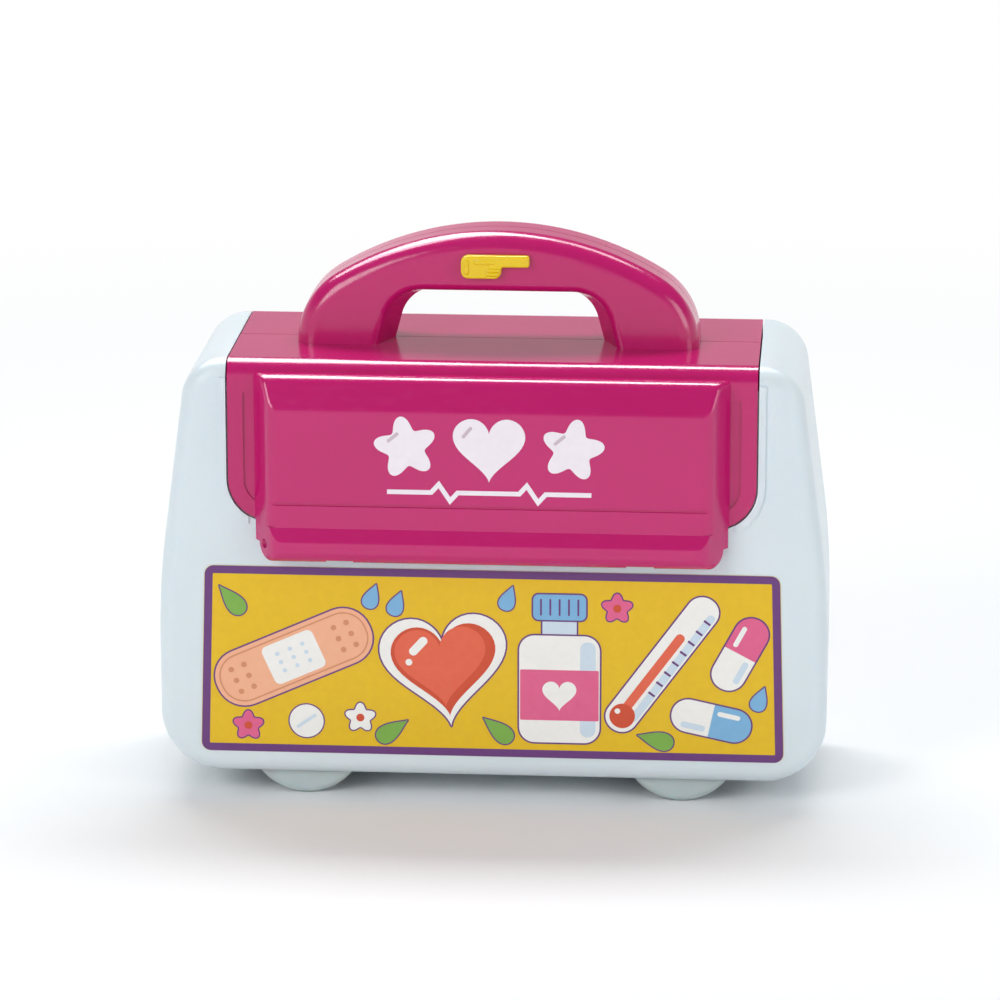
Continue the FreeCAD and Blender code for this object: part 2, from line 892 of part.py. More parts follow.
def small_screws(places, seat, facing):
    """Small screws with their heads on one seat, facing the back (1) or the front (-1)."""
    screws = [
        slotted_screw(
            small_screw_radius, small_screw_length, small_screw_head_radius, small_screw_head_height,
            small_screw_slot_width, small_screw_slot_depth, x, facing * seat, z,
        )
        for x, z in places
    ]
    group = Part.makeCompound(screws)
    return group if facing > 0 else turned_back(group)


def latch_keeper():
    """The keeper on the rear half: a foot on two posts, and an arm with a hook that takes the bolt."""
    foot_front = keeper_foot_face - keeper_foot_thickness
    middle = keeper_start + keeper_thickness / 2
    half_foot = keeper_foot_length / 2
    foot = block(
        middle - half_foot, middle + half_foot, foot_front, keeper_foot_face,
        latch_height - keeper_foot_height / 2, latch_height + keeper_foot_height / 2,
    )
    hook_floor = latch_height - bolt_height / 2 - keeper_hook_gap
    tip = latch_height + keeper_tip
    arm = block(
        keeper_start, keeper_start + keeper_thickness, -keeper_reach, foot_front + keeper_foot_thickness / 2,
        hook_floor - keeper_rim, tip,
    )
    hook = block(
        keeper_start - overrun, keeper_start + keeper_thickness + overrun,
        -bolt_front - keeper_hook_gap, -bolt_back + keeper_hook_gap,
        hook_floor, tip + overrun,
    )
    holes = [
        rod_y(small_screw_radius + running_gap, 0, half_depth, x, z) for x, z in keeper_post_places()
    ]
    return cut_all(fuse_all([foot, arm]), [hook] + holes)


# Wheels

def wheel(x, side):
    """A moulded wheel: a cup with a smooth outer face, and a hub with a spacer towards its bearing."""
    rim_inner = wheel_radius - wheel_rim_width
    back = wheel_face - wheel_width
    cup = rod_y(wheel_radius, back, wheel_face, 0, 0)
    cup = cup.makeFillet(wheel_rim_round, edges_at_depth(cup, back) + edges_at_depth(cup, wheel_face))
    cup = cup.cut(rod_y(rim_inner, back - overrun, wheel_face - wheel_web_thickness, 0, 0))
    hub = rod_y(wheel_hub_radius, back - wheel_spacer_length, hub_face, 0, 0)
    cap_seat = rod_y(axle_cap_radius + slide_gap, hub_face, wheel_face + overrun, 0, 0)
    bore = rod_y(axle_radius + press_gap, 0, half_depth, 0, 0)
    solid = cut_all(fuse_all([cup, hub]), [cap_seat, bore])
    solid = solid if side > 0 else turned_back(solid)
    solid.translate(Vector(x, 0, wheel_radius))
    return solid


def axle(x):
    """The steel axle that joins a front and a rear wheel."""
    return rod_y(axle_radius, -hub_face, hub_face, x, wheel_radius)


def axle_caps(x):
    """A round cap over each end of an axle."""
    cap = rod_y(axle_cap_radius, hub_face, hub_face + axle_cap_thickness, x, wheel_radius)
    cap = cap.makeFillet(axle_cap_round, edges_at_depth(cap, hub_face + axle_cap_thickness))
    return Part.makeCompound([cap, turned_back(cap)])


def pieces():
    """Every piece of the case by name."""
    body = whole_body()
    named = {
        "front_shell": front_shell(body),
        "rear_shell": rear_shell(body),
        "shell_screws": shell_screws(),
        "front_label": front_label(),
        "front_flap": front_flap(),
        "rear_flap": rear_flap(),
        "front_hinge_pin": hinge_pin(),
        "rear_hinge_pin": turned_back(hinge_pin()),
        "latch_knob": latch_knob(),
        "latch_bolt": latch_bolt(),
        "latch_retainer": latch_retainer(),
        "latch_retainer_screws": small_screws(retainer_screw_places(), -retainer_back, 1),
        "latch_keeper": latch_keeper(),
        "latch_keeper_screws": small_screws(
            keeper_post_places(), keeper_foot_face - keeper_foot_thickness, -1,
        ),
    }
    for hand, way in (("left", -1), ("right", 1)):
        x = way * wheel_spacing / 2
        named[f"{hand}_axle"] = axle(x)
        named[f"{hand}_axle_caps"] = axle_caps(x)
        for end, side in (("front", -1), ("rear", 1)):
            named[f"{end}_{hand}_wheel"] = wheel(x, side)
    return named


os.makedirs("parts", exist_ok=True)
for name, shape in pieces().items():
    shape.exportStep(f"parts/{name}.step")
    print(f"{name}: {len(shape.Solids)} solid(s), {shape.Volume:.0f} mm3, valid {shape.isValid()}")
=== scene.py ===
import logging
import math
from abc import ABC, abstractmethod
from dataclasses import dataclass
from enum import Enum
from itertools import product

import bpy
import numpy as np
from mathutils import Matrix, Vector


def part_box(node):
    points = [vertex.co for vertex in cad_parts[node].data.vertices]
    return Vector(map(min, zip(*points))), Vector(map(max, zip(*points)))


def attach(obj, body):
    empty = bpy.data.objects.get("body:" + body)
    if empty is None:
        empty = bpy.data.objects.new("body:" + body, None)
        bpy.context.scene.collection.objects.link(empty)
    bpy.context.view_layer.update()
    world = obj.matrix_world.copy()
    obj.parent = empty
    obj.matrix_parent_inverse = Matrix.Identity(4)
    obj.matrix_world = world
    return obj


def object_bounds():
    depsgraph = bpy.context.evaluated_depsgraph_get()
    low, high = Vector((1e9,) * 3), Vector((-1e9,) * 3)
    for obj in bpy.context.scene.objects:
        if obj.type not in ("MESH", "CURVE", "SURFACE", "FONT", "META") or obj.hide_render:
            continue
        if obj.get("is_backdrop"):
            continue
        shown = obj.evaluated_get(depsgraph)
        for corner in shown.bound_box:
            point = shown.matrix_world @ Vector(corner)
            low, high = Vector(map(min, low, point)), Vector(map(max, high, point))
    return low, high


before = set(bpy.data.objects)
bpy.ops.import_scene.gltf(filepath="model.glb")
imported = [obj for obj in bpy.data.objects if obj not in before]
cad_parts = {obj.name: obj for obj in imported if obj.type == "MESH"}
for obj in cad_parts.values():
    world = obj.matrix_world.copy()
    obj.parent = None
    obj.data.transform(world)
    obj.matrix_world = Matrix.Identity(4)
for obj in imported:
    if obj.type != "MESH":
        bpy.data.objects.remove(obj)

# A toy doctor case: a white body on wheels, pink flaps that share the carrying handle, a yellow
# slide latch and a printed sticker. Sizes are in millimetres and places come from the frame.

MM = 0.001
log = logging.getLogger("toy_case")

# A printed bar is given by its length, height and corner, and a spot by u across and v upwards
Bar = tuple[float, float, float]
Spot = tuple[float, float]


def linear(colour: str) -> tuple[float, float, float, float]:
    """Turn an sRGB hex colour into linear values.

    Args:
        colour: Colour such as "#C0166A".

    Returns:
        Linear red, green and blue, and an alpha of 1.
    """
    parts = np.array([int(colour[place:place + 2], 16) for place in (1, 3, 5)]) / 255
    values = np.where(parts <= 0.04045, parts / 12.92, ((parts + 0.055) / 1.055) ** 2.4)
    return (*map(float, values), 1.0)


def add_node(tree: bpy.types.NodeTree, kind: str, inputs: dict, **settings: object) -> bpy.types.Node:
    """Add one shader node with its settings, values and links.

    Args:
        tree: Tree that the node goes into.
        kind: Node type, such as "ShaderNodeTexNoise".
        inputs: Value, or output socket to link, for each input's name or number.
        **settings: Properties of the node itself.

    Returns:
        The node.
    """
    made = tree.nodes.new(kind)
    for name, value in settings.items():
        setattr(made, name, value)
    for name, value in inputs.items():
        if isinstance(value, bpy.types.NodeSocket):
            tree.links.new(value, made.inputs[name])
        else:
            made.inputs[name].default_value = value
    return made


def new_material(name: str) -> bpy.types.Material:
    """Make an empty node material.

    Args:
        name: Material's name.

    Returns:
        The material, with no nodes yet.
    """
    made = bpy.data.materials.new(name)
    made.use_nodes = True
    made.node_tree.nodes.clear()
    return made


# Finishes

class Finish(ABC):
    """A finish that is made into a material once and then shared."""

    name: str

    def material(self) -> bpy.types.Material:
        """Give the finish's material, made on first use.

        Returns:
            The shared material.
        """
        found = bpy.data.materials.get(self.name)
        if found is None:
            found = new_material(self.name)
            self.fill(found.node_tree)
        return found

    @abstractmethod
    def fill(self, tree: bpy.types.NodeTree) -> None:
        """Put the finish's nodes into a tree."""


@dataclass(frozen=True)
class MouldedPlastic(Finish):
    """Injection moulded plastic: even colour that drifts a little, gloss with a faint orange peel,
    shallow sink waves that bend the highlights, and sparse scuffs that dull them.

    The peel is coarser than on a real moulding, so that it shows.
    """

    name: str
    colour: str
    drift_colour: str
    roughness: float
    scuff_roughness: float
    ior: float
    drift_mm: float = 60.0
    wave_mm: float = 34.0
    wave_height_mm: float = 0.05
    peel_mm: float = 1.4
    peel_height_mm: float = 0.004
    scuff_mm: float = 5.0
    scuff_turn: tuple[float, float, float] = (0.4, 0.3, 0.7)
    scuff_stretch: tuple[float, float, float] = (1.0, 6.0, 1.0)
    scuff_share: tuple[float, float] = (0.5, 0.75)
    milkiness: float = 0.0
    milk_depth_mm: float = 3.0
    clearness: float = 0.0

    def fill(self, tree: bpy.types.NodeTree) -> None:
        """Drift colour, scuff roughness and stack two bumps under one principled shader.

        Args:
            tree: Tree that the nodes go into.
        """
        place = add_node(tree, "ShaderNodeTexCoord", {}).outputs["Object"]
        drift = add_node(
            tree, "ShaderNodeTexNoise",
            {"Vector": place, "Scale": 1 / (self.drift_mm * MM), "Detail": 2.0},
        )
        colour = add_node(
            tree, "ShaderNodeMix",
            {"Factor": drift.outputs["Fac"], "A": linear(self.colour), "B": linear(self.drift_colour)},
            data_type="RGBA",
        )
        stretched = add_node(
            tree, "ShaderNodeMapping",
            {"Vector": place, "Rotation": self.scuff_turn, "Scale": self.scuff_stretch},
        )
        scuffs = add_node(
            tree, "ShaderNodeTexNoise",
            {"Vector": stretched.outputs["Vector"], "Scale": 1 / (self.scuff_mm * MM), "Detail": 6.0},
        )
        roughness = add_node(
            tree, "ShaderNodeMapRange",
            {
                "Value": scuffs.outputs["Fac"],
                "From Min": self.scuff_share[0], "From Max": self.scuff_share[1],
                "To Min": self.roughness, "To Max": self.scuff_roughness,
            },
        )
        wave = add_node(
            tree, "ShaderNodeTexNoise",
            {"Vector": place, "Scale": 1 / (self.wave_mm * MM), "Detail": 1.0},
        )
        waved = add_node(
            tree, "ShaderNodeBump",
            {"Height": wave.outputs["Fac"], "Distance": self.wave_height_mm * MM, "Strength": 1.0},
        )
        peel = add_node(
            tree, "ShaderNodeTexNoise",
            {"Vector": place, "Scale": 1 / (self.peel_mm * MM), "Detail": 2.0},
        )
        peeled = add_node(
            tree, "ShaderNodeBump",
            {
                "Height": peel.outputs["Fac"], "Distance": self.peel_height_mm * MM, "Strength": 1.0,
                "Normal": waved.outputs["Normal"],
            },
        )
        shader = add_node(
            tree, "ShaderNodeBsdfPrincipled",
            {
                "Base Color": colour.outputs["Result"], "Roughness": roughness.outputs["Result"],
                "IOR": self.ior, "Normal": peeled.outputs["Normal"],
                "Subsurface Weight": self.milkiness, "Subsurface Scale": self.milk_depth_mm * MM,
                "Transmission Weight": self.clearness,
            },
        )
        add_node(tree, "ShaderNodeOutputMaterial", {"Surface": shader.outputs["BSDF"]})


@dataclass(frozen=True)
class PrintedInk(Finish):
    """Screen printed ink on a glossy film: flat colour with a fine mottle, and a low sheen that
    follows the film's slight ripple."""

    name: str
    colour: str
    mottle_colour: str
    roughness: float = 0.3
    ior: float = 1.48
    mottle_mm: float = 2.5
    ripple_mm: float = 9.0
    ripple_height_mm: float = 0.012

    def fill(self, tree: bpy.types.NodeTree) -> None:
        """Mottle the colour and ripple the sheen.

        Args:
            tree: Tree that the nodes go into.
        """
        place = add_node(tree, "ShaderNodeTexCoord", {}).outputs["Object"]
        mottle = add_node(
            tree, "ShaderNodeTexNoise",
            {"Vector": place, "Scale": 1 / (self.mottle_mm * MM), "Detail": 4.0},
        )
        colour = add_node(
            tree, "ShaderNodeMix",
            {"Factor": mottle.outputs["Fac"], "A": linear(self.colour), "B": linear(self.mottle_colour)},
            data_type="RGBA",
        )
        ripple = add_node(
            tree, "ShaderNodeTexNoise",
            {"Vector": place, "Scale": 1 / (self.ripple_mm * MM), "Detail": 1.0},
        )
        rippled = add_node(
            tree, "ShaderNodeBump",
            {"Height": ripple.outputs["Fac"], "Distance": self.ripple_height_mm * MM, "Strength": 1.0},
        )
        shader = add_node(
            tree, "ShaderNodeBsdfPrincipled",
            {
                "Base Color": colour.outputs["Result"], "Roughness": self.roughness, "IOR": self.ior,
                "Normal": rippled.outputs["Normal"],
            },
        )
        add_node(tree, "ShaderNodeOutputMaterial", {"Surface": shader.outputs["BSDF"]})


@dataclass(frozen=True)
class PlatedSteel(Finish):
    """Zinc plated steel wire: grey metal with drawn lines along its length and a cloudy plating.

    The drawn lines are coarser than on real wire, so that they show.
    """

    name: str
    colour: str
    cloud_colour: str
    roughness: float
    line_mm: float = 0.3
    line_height_mm: float = 0.006
    line_stretch: tuple[float, float, float] = (0.3, 0.05, 1.0)
    cloud_mm: float = 4.0

    def fill(self, tree: bpy.types.NodeTree) -> None:
        """Cloud the plating and draw fine lines on it.

        Args:
            tree: Tree that the nodes go into.
        """
        place = add_node(tree, "ShaderNodeTexCoord", {}).outputs["Object"]
        cloud = add_node(
            tree, "ShaderNodeTexNoise",
            {"Vector": place, "Scale": 1 / (self.cloud_mm * MM), "Detail": 3.0},
        )
        colour = add_node(
            tree, "ShaderNodeMix",
            {"Factor": cloud.outputs["Fac"], "A": linear(self.colour), "B": linear(self.cloud_colour)},
            data_type="RGBA",
        )
        drawn = add_node(tree, "ShaderNodeMapping", {"Vector": place, "Scale": self.line_stretch})
        lines = add_node(
            tree, "ShaderNodeTexNoise",
            {"Vector": drawn.outputs["Vector"], "Scale": 1 / (self.line_mm * MM), "Detail": 2.0},
        )
        lined = add_node(
            tree, "ShaderNodeBump",
            {"Height": lines.outputs["Fac"], "Distance": self.line_height_mm * MM, "Strength": 0.6},
        )
        shader = add_node(
            tree, "ShaderNodeBsdfPrincipled",
            {
                "Base Color": colour.outputs["Result"], "Metallic": 1.0, "Roughness": self.roughness,
                "Normal": lined.outputs["Normal"],
            },
        )
        add_node(tree, "ShaderNodeOutputMaterial", {"Surface": shader.outputs["BSDF"]})


class Plastic(Enum):
    """The moulded plastics of the case."""

    # Moulded polypropylene: soft gloss, and light that goes a little way in makes the white milky
    WHITE_SHELL = MouldedPlastic(
        "white_polypropylene", "#DDE6EA", "#D3DEE4", 0.34, 0.44, 1.49,
        peel_height_mm=0.006, milkiness=0.12,
    )
    # Moulded polystyrene: hard gloss with sharp highlights over an even, strong pink
    PINK_SHELL = MouldedPlastic("pink_polystyrene", "#C4186C", "#BA1264", 0.17, 0.26, 1.57)
    # Moulded polystyrene in small pieces: the same gloss, with closer waves
    YELLOW_LATCH = MouldedPlastic(
        "yellow_polystyrene", "#F0D000", "#E8C400", 0.2, 0.3, 1.57, wave_mm=12.0, wave_height_mm=0.02,
    )
    # Moulded nylon: satin, so highlights are broad and dull
    WHITE_TRIM = MouldedPlastic("white_nylon", "#E2E6E6", "#D8DEDF", 0.42, 0.5, 1.53)
    # Unpigmented polypropylene: milky, and some light passes through
    WHEEL = MouldedPlastic(
        "milky_polypropylene", "#D6E0E0", "#CAD7D8", 0.28, 0.4, 1.49, milkiness=0.3, clearness=0.25,
    )


class Metal(Enum):
    """The metals of the case."""

    # Drawn wire with a zinc plating: grey with a slightly cloudy shine
    ZINC = PlatedSteel("zinc_plated_steel", "#B4B7BB", "#9EA3A9", 0.32)


class Ink(Enum):
    """The inks of the sticker and of the panel's print."""

    # Screen printed ink under a clear film: flat, even colours with a faint mottle and a low sheen
    MUSTARD = PrintedInk("mustard_ink", "#E8BE10", "#DEB20C")
    PURPLE = PrintedInk("purple_ink", "#6C3A7C", "#623272")
    WHITE = PrintedInk("white_ink", "#F3F1EC", "#EAE8E4")
    PINK = PrintedInk("pink_ink", "#E2648F", "#DA5885")
    ORANGE = PrintedInk("orange_ink", "#D24E2C", "#C94626")
    CORAL = PrintedInk("coral_ink", "#E5674A", "#DE5D40")
    BLUE = PrintedInk("blue_ink", "#7FB4DA", "#74AAD2")
    GREEN = PrintedInk("green_ink", "#7FB04A", "#74A540")
    PEACH = PrintedInk("peach_ink", "#F2B490", "#EBAA86")
    TAN = PrintedInk("tan_ink", "#D88F68", "#CF855E")
    PALE = PrintedInk("pale_blue_ink", "#CFDDE8", "#C5D5E2")
    # Pad printed ink straight on the plastic: a little duller than the film
    PANEL_WHITE = PrintedInk("panel_white_ink", "#F2EAF0", "#EADFE8", roughness=0.36)
    PANEL_GREY = PrintedInk("panel_grey_ink", "#CDB9C6", "#C4AFBD", roughness=0.36)


def dress_node(name: str, finish: Finish) -> None:
    """Give one node of the frame its finish.

    Args:
        name: Node's name.
        finish: Finish for all of it.
    """
    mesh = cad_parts[name].data
    mesh.materials.clear()
    mesh.materials.append(finish.material())
    log.info("dressed %s in %s", name, finish.name)


# Surfaces

def mesh_piece(
    name: str, points: np.ndarray, faces: np.ndarray, finish: Finish, body: str,
) -> bpy.types.Object:
    """Make a smooth mesh piece that rides on a body.

    Args:
        name: Piece's name.
        points: Vertices as rows of x, y and z in metres.
        faces: Rows of four vertex numbers; a triangle repeats its last one.
        finish: Finish of the piece.
        body: Body that it moves with.

    Returns:
        The piece.
    """
    mesh = bpy.data.meshes.new(name)
    triangle = faces[:, 2] == faces[:, 3]
    loops = np.concatenate([faces[~triangle].ravel(), faces[triangle][:, :3].ravel()])
    sizes = np.concatenate([np.full((~triangle).sum(), 4), np.full(triangle.sum(), 3)])
    starts = np.concatenate([[0], np.cumsum(sizes)[:-1]])
    mesh.vertices.add(len(points))
    mesh.vertices.foreach_set("co", points.astype(np.float32).ravel())
    mesh.loops.add(len(loops))
    mesh.loops.foreach_set("vertex_index", loops.astype(np.int32))
    mesh.polygons.add(len(sizes))
    mesh.polygons.foreach_set("loop_start", starts.astype(np.int32))
    mesh.polygons.foreach_set("use_smooth", np.ones(len(sizes), bool))
    mesh.update(calc_edges=True)
    mesh.validate()
    mesh.materials.append(finish.material())
    piece = bpy.data.objects.new(name, mesh)
    bpy.context.scene.collection.objects.link(piece)
    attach(piece, body)
    log.info("made %s with %d faces on %s", name, len(sizes), body)
    return piece


def grid_faces(rows: int, columns: int, closed: bool) -> np.ndarray:
    """Number the quads of a grid of points that is stored row by row.

    Args:
        rows: Points along the first parameter.
        columns: Points along the second parameter.
        closed: Whether the last column joins the first.

    Returns:
        Rows of four vertex numbers.
    """
    last = columns if closed else columns - 1
    row, column = np.meshgrid(np.arange(rows - 1), np.arange(last), indexing="ij")
    after = (column + 1) % columns
    corners = [row * columns + column, row * columns + after,
               (row + 1) * columns + after, (row + 1) * columns + column]
    return np.stack(corners, axis=-1).reshape(-1, 4)


def capped_faces(rows: int, columns: int) -> np.ndarray:
    """Number the faces of closed rings, and of a fan from the last ring to one point after them.

    Args:
        rows: Number of rings.
        columns: Points of each ring.

    Returns:
        Rows of four vertex numbers, where a triangle repeats its last one.
    """
    step = np.arange(columns)
    here = (rows - 1) * columns + step
    after = (rows - 1) * columns + (step + 1) % columns
    pole = np.full(columns, rows * columns)
    fan = np.stack([here, after, pole, pole], axis=-1)
    return np.concatenate([grid_faces(rows, columns, True), fan])


def joined(patches: list[tuple[np.ndarray, np.ndarray]]) -> tuple[np.ndarray, np.ndarray]:
    """Join patches into one mesh.

    Args:
        patches: Points and faces of each patch.

    Returns:
        All points, and all faces with their vertex numbers moved on.
    """
    starts = np.cumsum([0] + [len(points) for points, _ in patches])
    points = np.concatenate([points for points, _ in patches])
    faces = np.concatenate([faces + start for (_, faces), start in zip(patches, starts)])
    return points, faces


def rounded_outline(corners: np.ndarray, radius: float, steps: int = 8) -> np.ndarray:
    """Round the corners of a closed outline.

    Each corner is replaced by an arc that is tangent to its two sides: the arc's middle lies on the
    corner's bisector, and the arc sweeps between the feet of the two perpendiculars.

    Args:
        corners: Rows of u and v, counterclockwise.
        radius: Radius of the arcs.
        steps: Steps along each arc.

    Returns:
        Rows of u and v.
    """
    before = np.roll(corners, 1, axis=0) - corners
    after = np.roll(corners, -1, axis=0) - corners
    before = before / np.linalg.norm(before, axis=1, keepdims=True)
    after = after / np.linalg.norm(after, axis=1, keepdims=True)
    half = np.arccos(np.clip((before * after).sum(axis=1), -1, 1)) / 2
    bisector = before + after
    bisector = bisector / np.linalg.norm(bisector, axis=1, keepdims=True)
    middle = corners + bisector * (radius / np.sin(half))[:, None]
    first = corners + before * (radius / np.tan(half))[:, None] - middle
    sweep = np.pi - 2 * half
    angle = np.linspace(0, 1, steps + 1)[None, :] * sweep[:, None]
    u = first[:, None, 0] * np.cos(angle) - first[:, None, 1] * np.sin(angle)
    v = first[:, None, 0] * np.sin(angle) + first[:, None, 1] * np.cos(angle)
    return (np.stack([u, v], axis=-1) + middle[:, None, :]).reshape(-1, 2)


def bar_outline(length: float, height: float, radius: float) -> np.ndarray:
    """Give a rounded bar about the origin: a rectangle whose corners are arcs."""
    u, v = length / 2, height / 2
    return rounded_outline(np.array([[-u, -v], [u, -v], [u, v], [-u, v]]), radius)


def heart_outline(width: float, steps: int = 72) -> np.ndarray:
    """Give a heart about its middle: sine cubed across, and a sum of four cosines upwards.

    Args:
        width: Width of the heart.
        steps: Points along it.

    Returns:
        Rows of u and v.
    """
    half, lift = 16.0, 1.5
    weights = np.array([13.0, -5.0, -2.0, -1.0])
    turn = np.linspace(0, 2 * np.pi, steps, endpoint=False)
    u = -half * np.sin(turn) ** 3
    v = weights @ np.cos(np.arange(1, len(weights) + 1)[:, None] * turn) + lift
    return np.stack([u, v], axis=-1) * width / (2 * half)


def petal_outline(radius: float, petals: int, depth_share: float, steps: int = 96) -> np.ndarray:
    """Give a flower about its middle: a circle whose radius swells once for each petal.

    Args:
        radius: Reach of the petals.
        petals: Number of petals.
        depth_share: Share of the radius by which it swells and shrinks.
        steps: Points along it.

    Returns:
        Rows of u and v.
    """
    turn = np.linspace(0, 2 * np.pi, steps, endpoint=False)
    reach = radius * (1 - depth_share + depth_share * np.cos(petals * turn))
    return np.stack([reach * np.sin(-turn), reach * np.cos(turn)], axis=-1)


def drop_outline(width: float, height: float, steps: int = 48) -> np.ndarray:
    """Give a drop about its middle: a cosine upwards, and a sine that thins towards the tip.

    Args:
        width: Width of the drop.
        height: Height of the drop.
        steps: Points along it.

    Returns:
        Rows of u and v.
    """
    belly_share, tip_power = 0.65, 1.5
    turn = np.linspace(0, 2 * np.pi, steps, endpoint=False)
    u = width * belly_share * np.sin(-turn) * np.sin(turn / 2) ** tip_power
    return np.stack([u, height / 2 * np.cos(turn)], axis=-1)


def line_band(points: np.ndarray, width: float) -> np.ndarray:
    """Give both edges of a line with mitred corners.

    At each point the edges lie along the mean of the normals of its two runs, at half the width over
    the cosine of half the turn, so that the band is equally wide all along.

    Args:
        points: Rows of u and v.
        width: Width of the line.

    Returns:
        The right edge and the left edge, each as rows of u and v.
    """
    runs = np.diff(points, axis=0)
    runs = runs / np.linalg.norm(runs, axis=1, keepdims=True)
    normals = np.stack([-runs[:, 1], runs[:, 0]], axis=-1)
    before = np.concatenate([normals[:1], normals])
    after = np.concatenate([normals, normals[-1:]])
    mean = before + after
    mean = mean / np.linalg.norm(mean, axis=1, keepdims=True)
    reach = width / 2 / (mean * after).sum(axis=1, keepdims=True)
    return np.stack([points - mean * reach, points + mean * reach])


def turned(outline: np.ndarray, degrees: float, u: float, v: float) -> np.ndarray:
    """Turn an outline about the origin and then move it.

    Args:
        outline: Rows of u and v.
        degrees: Turn, counterclockwise.
        u: Move across.
        v: Move upwards.

    Returns:
        The moved rows.
    """
    angle = math.radians(degrees)
    turn = np.array([[math.cos(angle), math.sin(angle)], [-math.sin(angle), math.cos(angle)]])
    return outline @ turn + np.array([u, v])


def grown(outline: np.ndarray, width: float) -> np.ndarray:
    """Move a closed counterclockwise outline outwards along its own normals.

    Args:
        outline: Rows of u and v.
        width: How far it moves; a negative value moves it inwards.

    Returns:
        The moved outline, point by point.
    """
    along = np.roll(outline, -1, axis=0) - np.roll(outline, 1, axis=0)
    along = along / np.maximum(np.linalg.norm(along, axis=1, keepdims=True), 1e-9)
    return outline + width * np.stack([along[:, 1], -along[:, 0]], axis=-1)


class Print:
    """A print on a flat front: outlines are collected by ink and layer, and made into thin pieces."""

    ring_shares = (1.0, 0.6, 0.25)

    def __init__(self, name: str, front: float, level: float, layer_mm: float, body: str) -> None:
        """Start a print.

        Args:
            name: First part of its pieces' names.
            front: Depth of the printed face in metres.
            level: Height, in metres, from which the print's v is counted.
            layer_mm: Thickness of each layer of ink.
            body: Body that the print moves with.
        """
        self.name = name
        self.level = level
        self.front = front
        self.layer_mm = layer_mm
        self.body = body
        self.grids: dict[Ink, list[tuple[np.ndarray, np.ndarray]]] = {}

    def lay(self, ink: Ink, layer: int, plan: np.ndarray, faces: np.ndarray) -> None:
        """Add one patch of ink.

        Args:
            ink: Ink of the patch.
            layer: Layer that it is in, from 1.
            plan: Rows of u and v in millimetres.
            faces: Rows of four vertex numbers.
        """
        depth = np.full(len(plan), self.front / MM - layer * self.layer_mm)
        points = np.stack([plan[:, 0], depth, plan[:, 1] + self.level / MM], axis=-1) * MM
        self.grids.setdefault(ink, []).append((points, faces))

    def fill(self, ink: Ink, layer: int, outline: np.ndarray) -> None:
        """Fill an outline: rings shrink from it towards its middle, where a fan closes them.

        Args:
            ink: Ink of the patch.
            layer: Layer that it is in, from 1.
            outline: Rows of u and v in millimetres, counterclockwise.
        """
        middle = outline.mean(axis=0)
        share = np.array(self.ring_shares)[:, None, None]
        rings = middle + share * (outline - middle)
        plan = np.concatenate([rings.reshape(-1, 2), [middle]])
        self.lay(ink, layer, plan, capped_faces(len(share), len(outline)))

    def ring(self, ink: Ink, layer: int, outline: np.ndarray, width: float) -> None:
        """Lay a band inside an outline: the outline and its inward copy, joined all round."""
        plan = np.concatenate([outline, grown(outline, -width)])
        self.lay(ink, layer, plan, grid_faces(2, len(outline), True))

    def motif(self, ink: Ink, layer: int, outline: np.ndarray, line_mm: float) -> None:
        """Fill an outline and lay a purple line round it."""
        self.fill(Ink.PURPLE, layer, grown(outline, line_mm))
        self.fill(ink, layer + 1, outline)

    def make(self) -> None:
        """Make one piece of each ink."""
        for ink, patches in self.grids.items():
            name = f"{self.name}_{ink.name.lower()}"
            piece = mesh_piece(name, *joined(patches), ink.value, self.body)


# Motifs of the sticker

@dataclass(frozen=True)
class Motif(ABC):
    """A printed motif, with the place of its middle and its turn."""

    u_mm: float
    v_mm: float
    degrees: float = 0.0

    def placed(self, outline: np.ndarray, across: float = 0.0, up: float = 0.0) -> np.ndarray:
        """Move an outline to a spot of the motif, and turn and move it with the motif."""
        return turned(outline + np.array([across, up]), self.degrees, self.u_mm, self.v_mm)

    def bar(self, size_mm: Bar, across: float = 0.0, up: float = 0.0) -> np.ndarray:
        """Give a rounded bar at a spot of the motif."""
        return self.placed(bar_outline(*size_mm), across, up)

    @abstractmethod
    def lay(self, art: Print, line_mm: float) -> None:
        """Lay the motif into a print, with outlines of one width."""


@dataclass(frozen=True)
class Plaster(Motif):
    """An adhesive plaster: a long rounded bar with a square pad and rows of small holes."""

    strip_mm: Bar = (54.0, 19.0, 9.0)
    seam_inset_mm: float = 1.3
    seam_mm: float = 0.5
    pad_mm: Bar = (18.0, 13.5, 2.0)
    hole_mm: Bar = (1.8, 1.8, 0.85)
    hole_columns_mm: tuple[float, ...] = (-20.5, -16.0, 16.0, 20.5)
    hole_rows_mm: tuple[float, ...] = (-4.0, 0.0, 4.0)
    dimple_mm: Bar = (1.4, 1.4, 0.65)
    dimple_columns_mm: tuple[float, ...] = (-4.5, 0.0, 4.5)
    dimple_rows_mm: tuple[float, ...] = (-3.0, 0.0, 3.0)

    def lay(self, art: Print, line_mm: float) -> None:
        """Lay the strip, its seam, its pad, its holes and the pad's dimples.

        Args:
            art: Print that it goes into.
            line_mm: Width of the outline.
        """
        strip = self.bar(self.strip_mm)
        art.motif(Ink.PEACH, 2, strip, line_mm)
        art.ring(Ink.TAN, 4, grown(strip, -self.seam_inset_mm), self.seam_mm)
        art.fill(Ink.WHITE, 4, self.bar(self.pad_mm))
        for across, up in product(self.hole_columns_mm, self.hole_rows_mm):
            art.fill(Ink.TAN, 5, self.bar(self.hole_mm, across, up))
        for across, up in product(self.dimple_columns_mm, self.dimple_rows_mm):
            art.fill(Ink.PALE, 5, self.bar(self.dimple_mm, across, up))


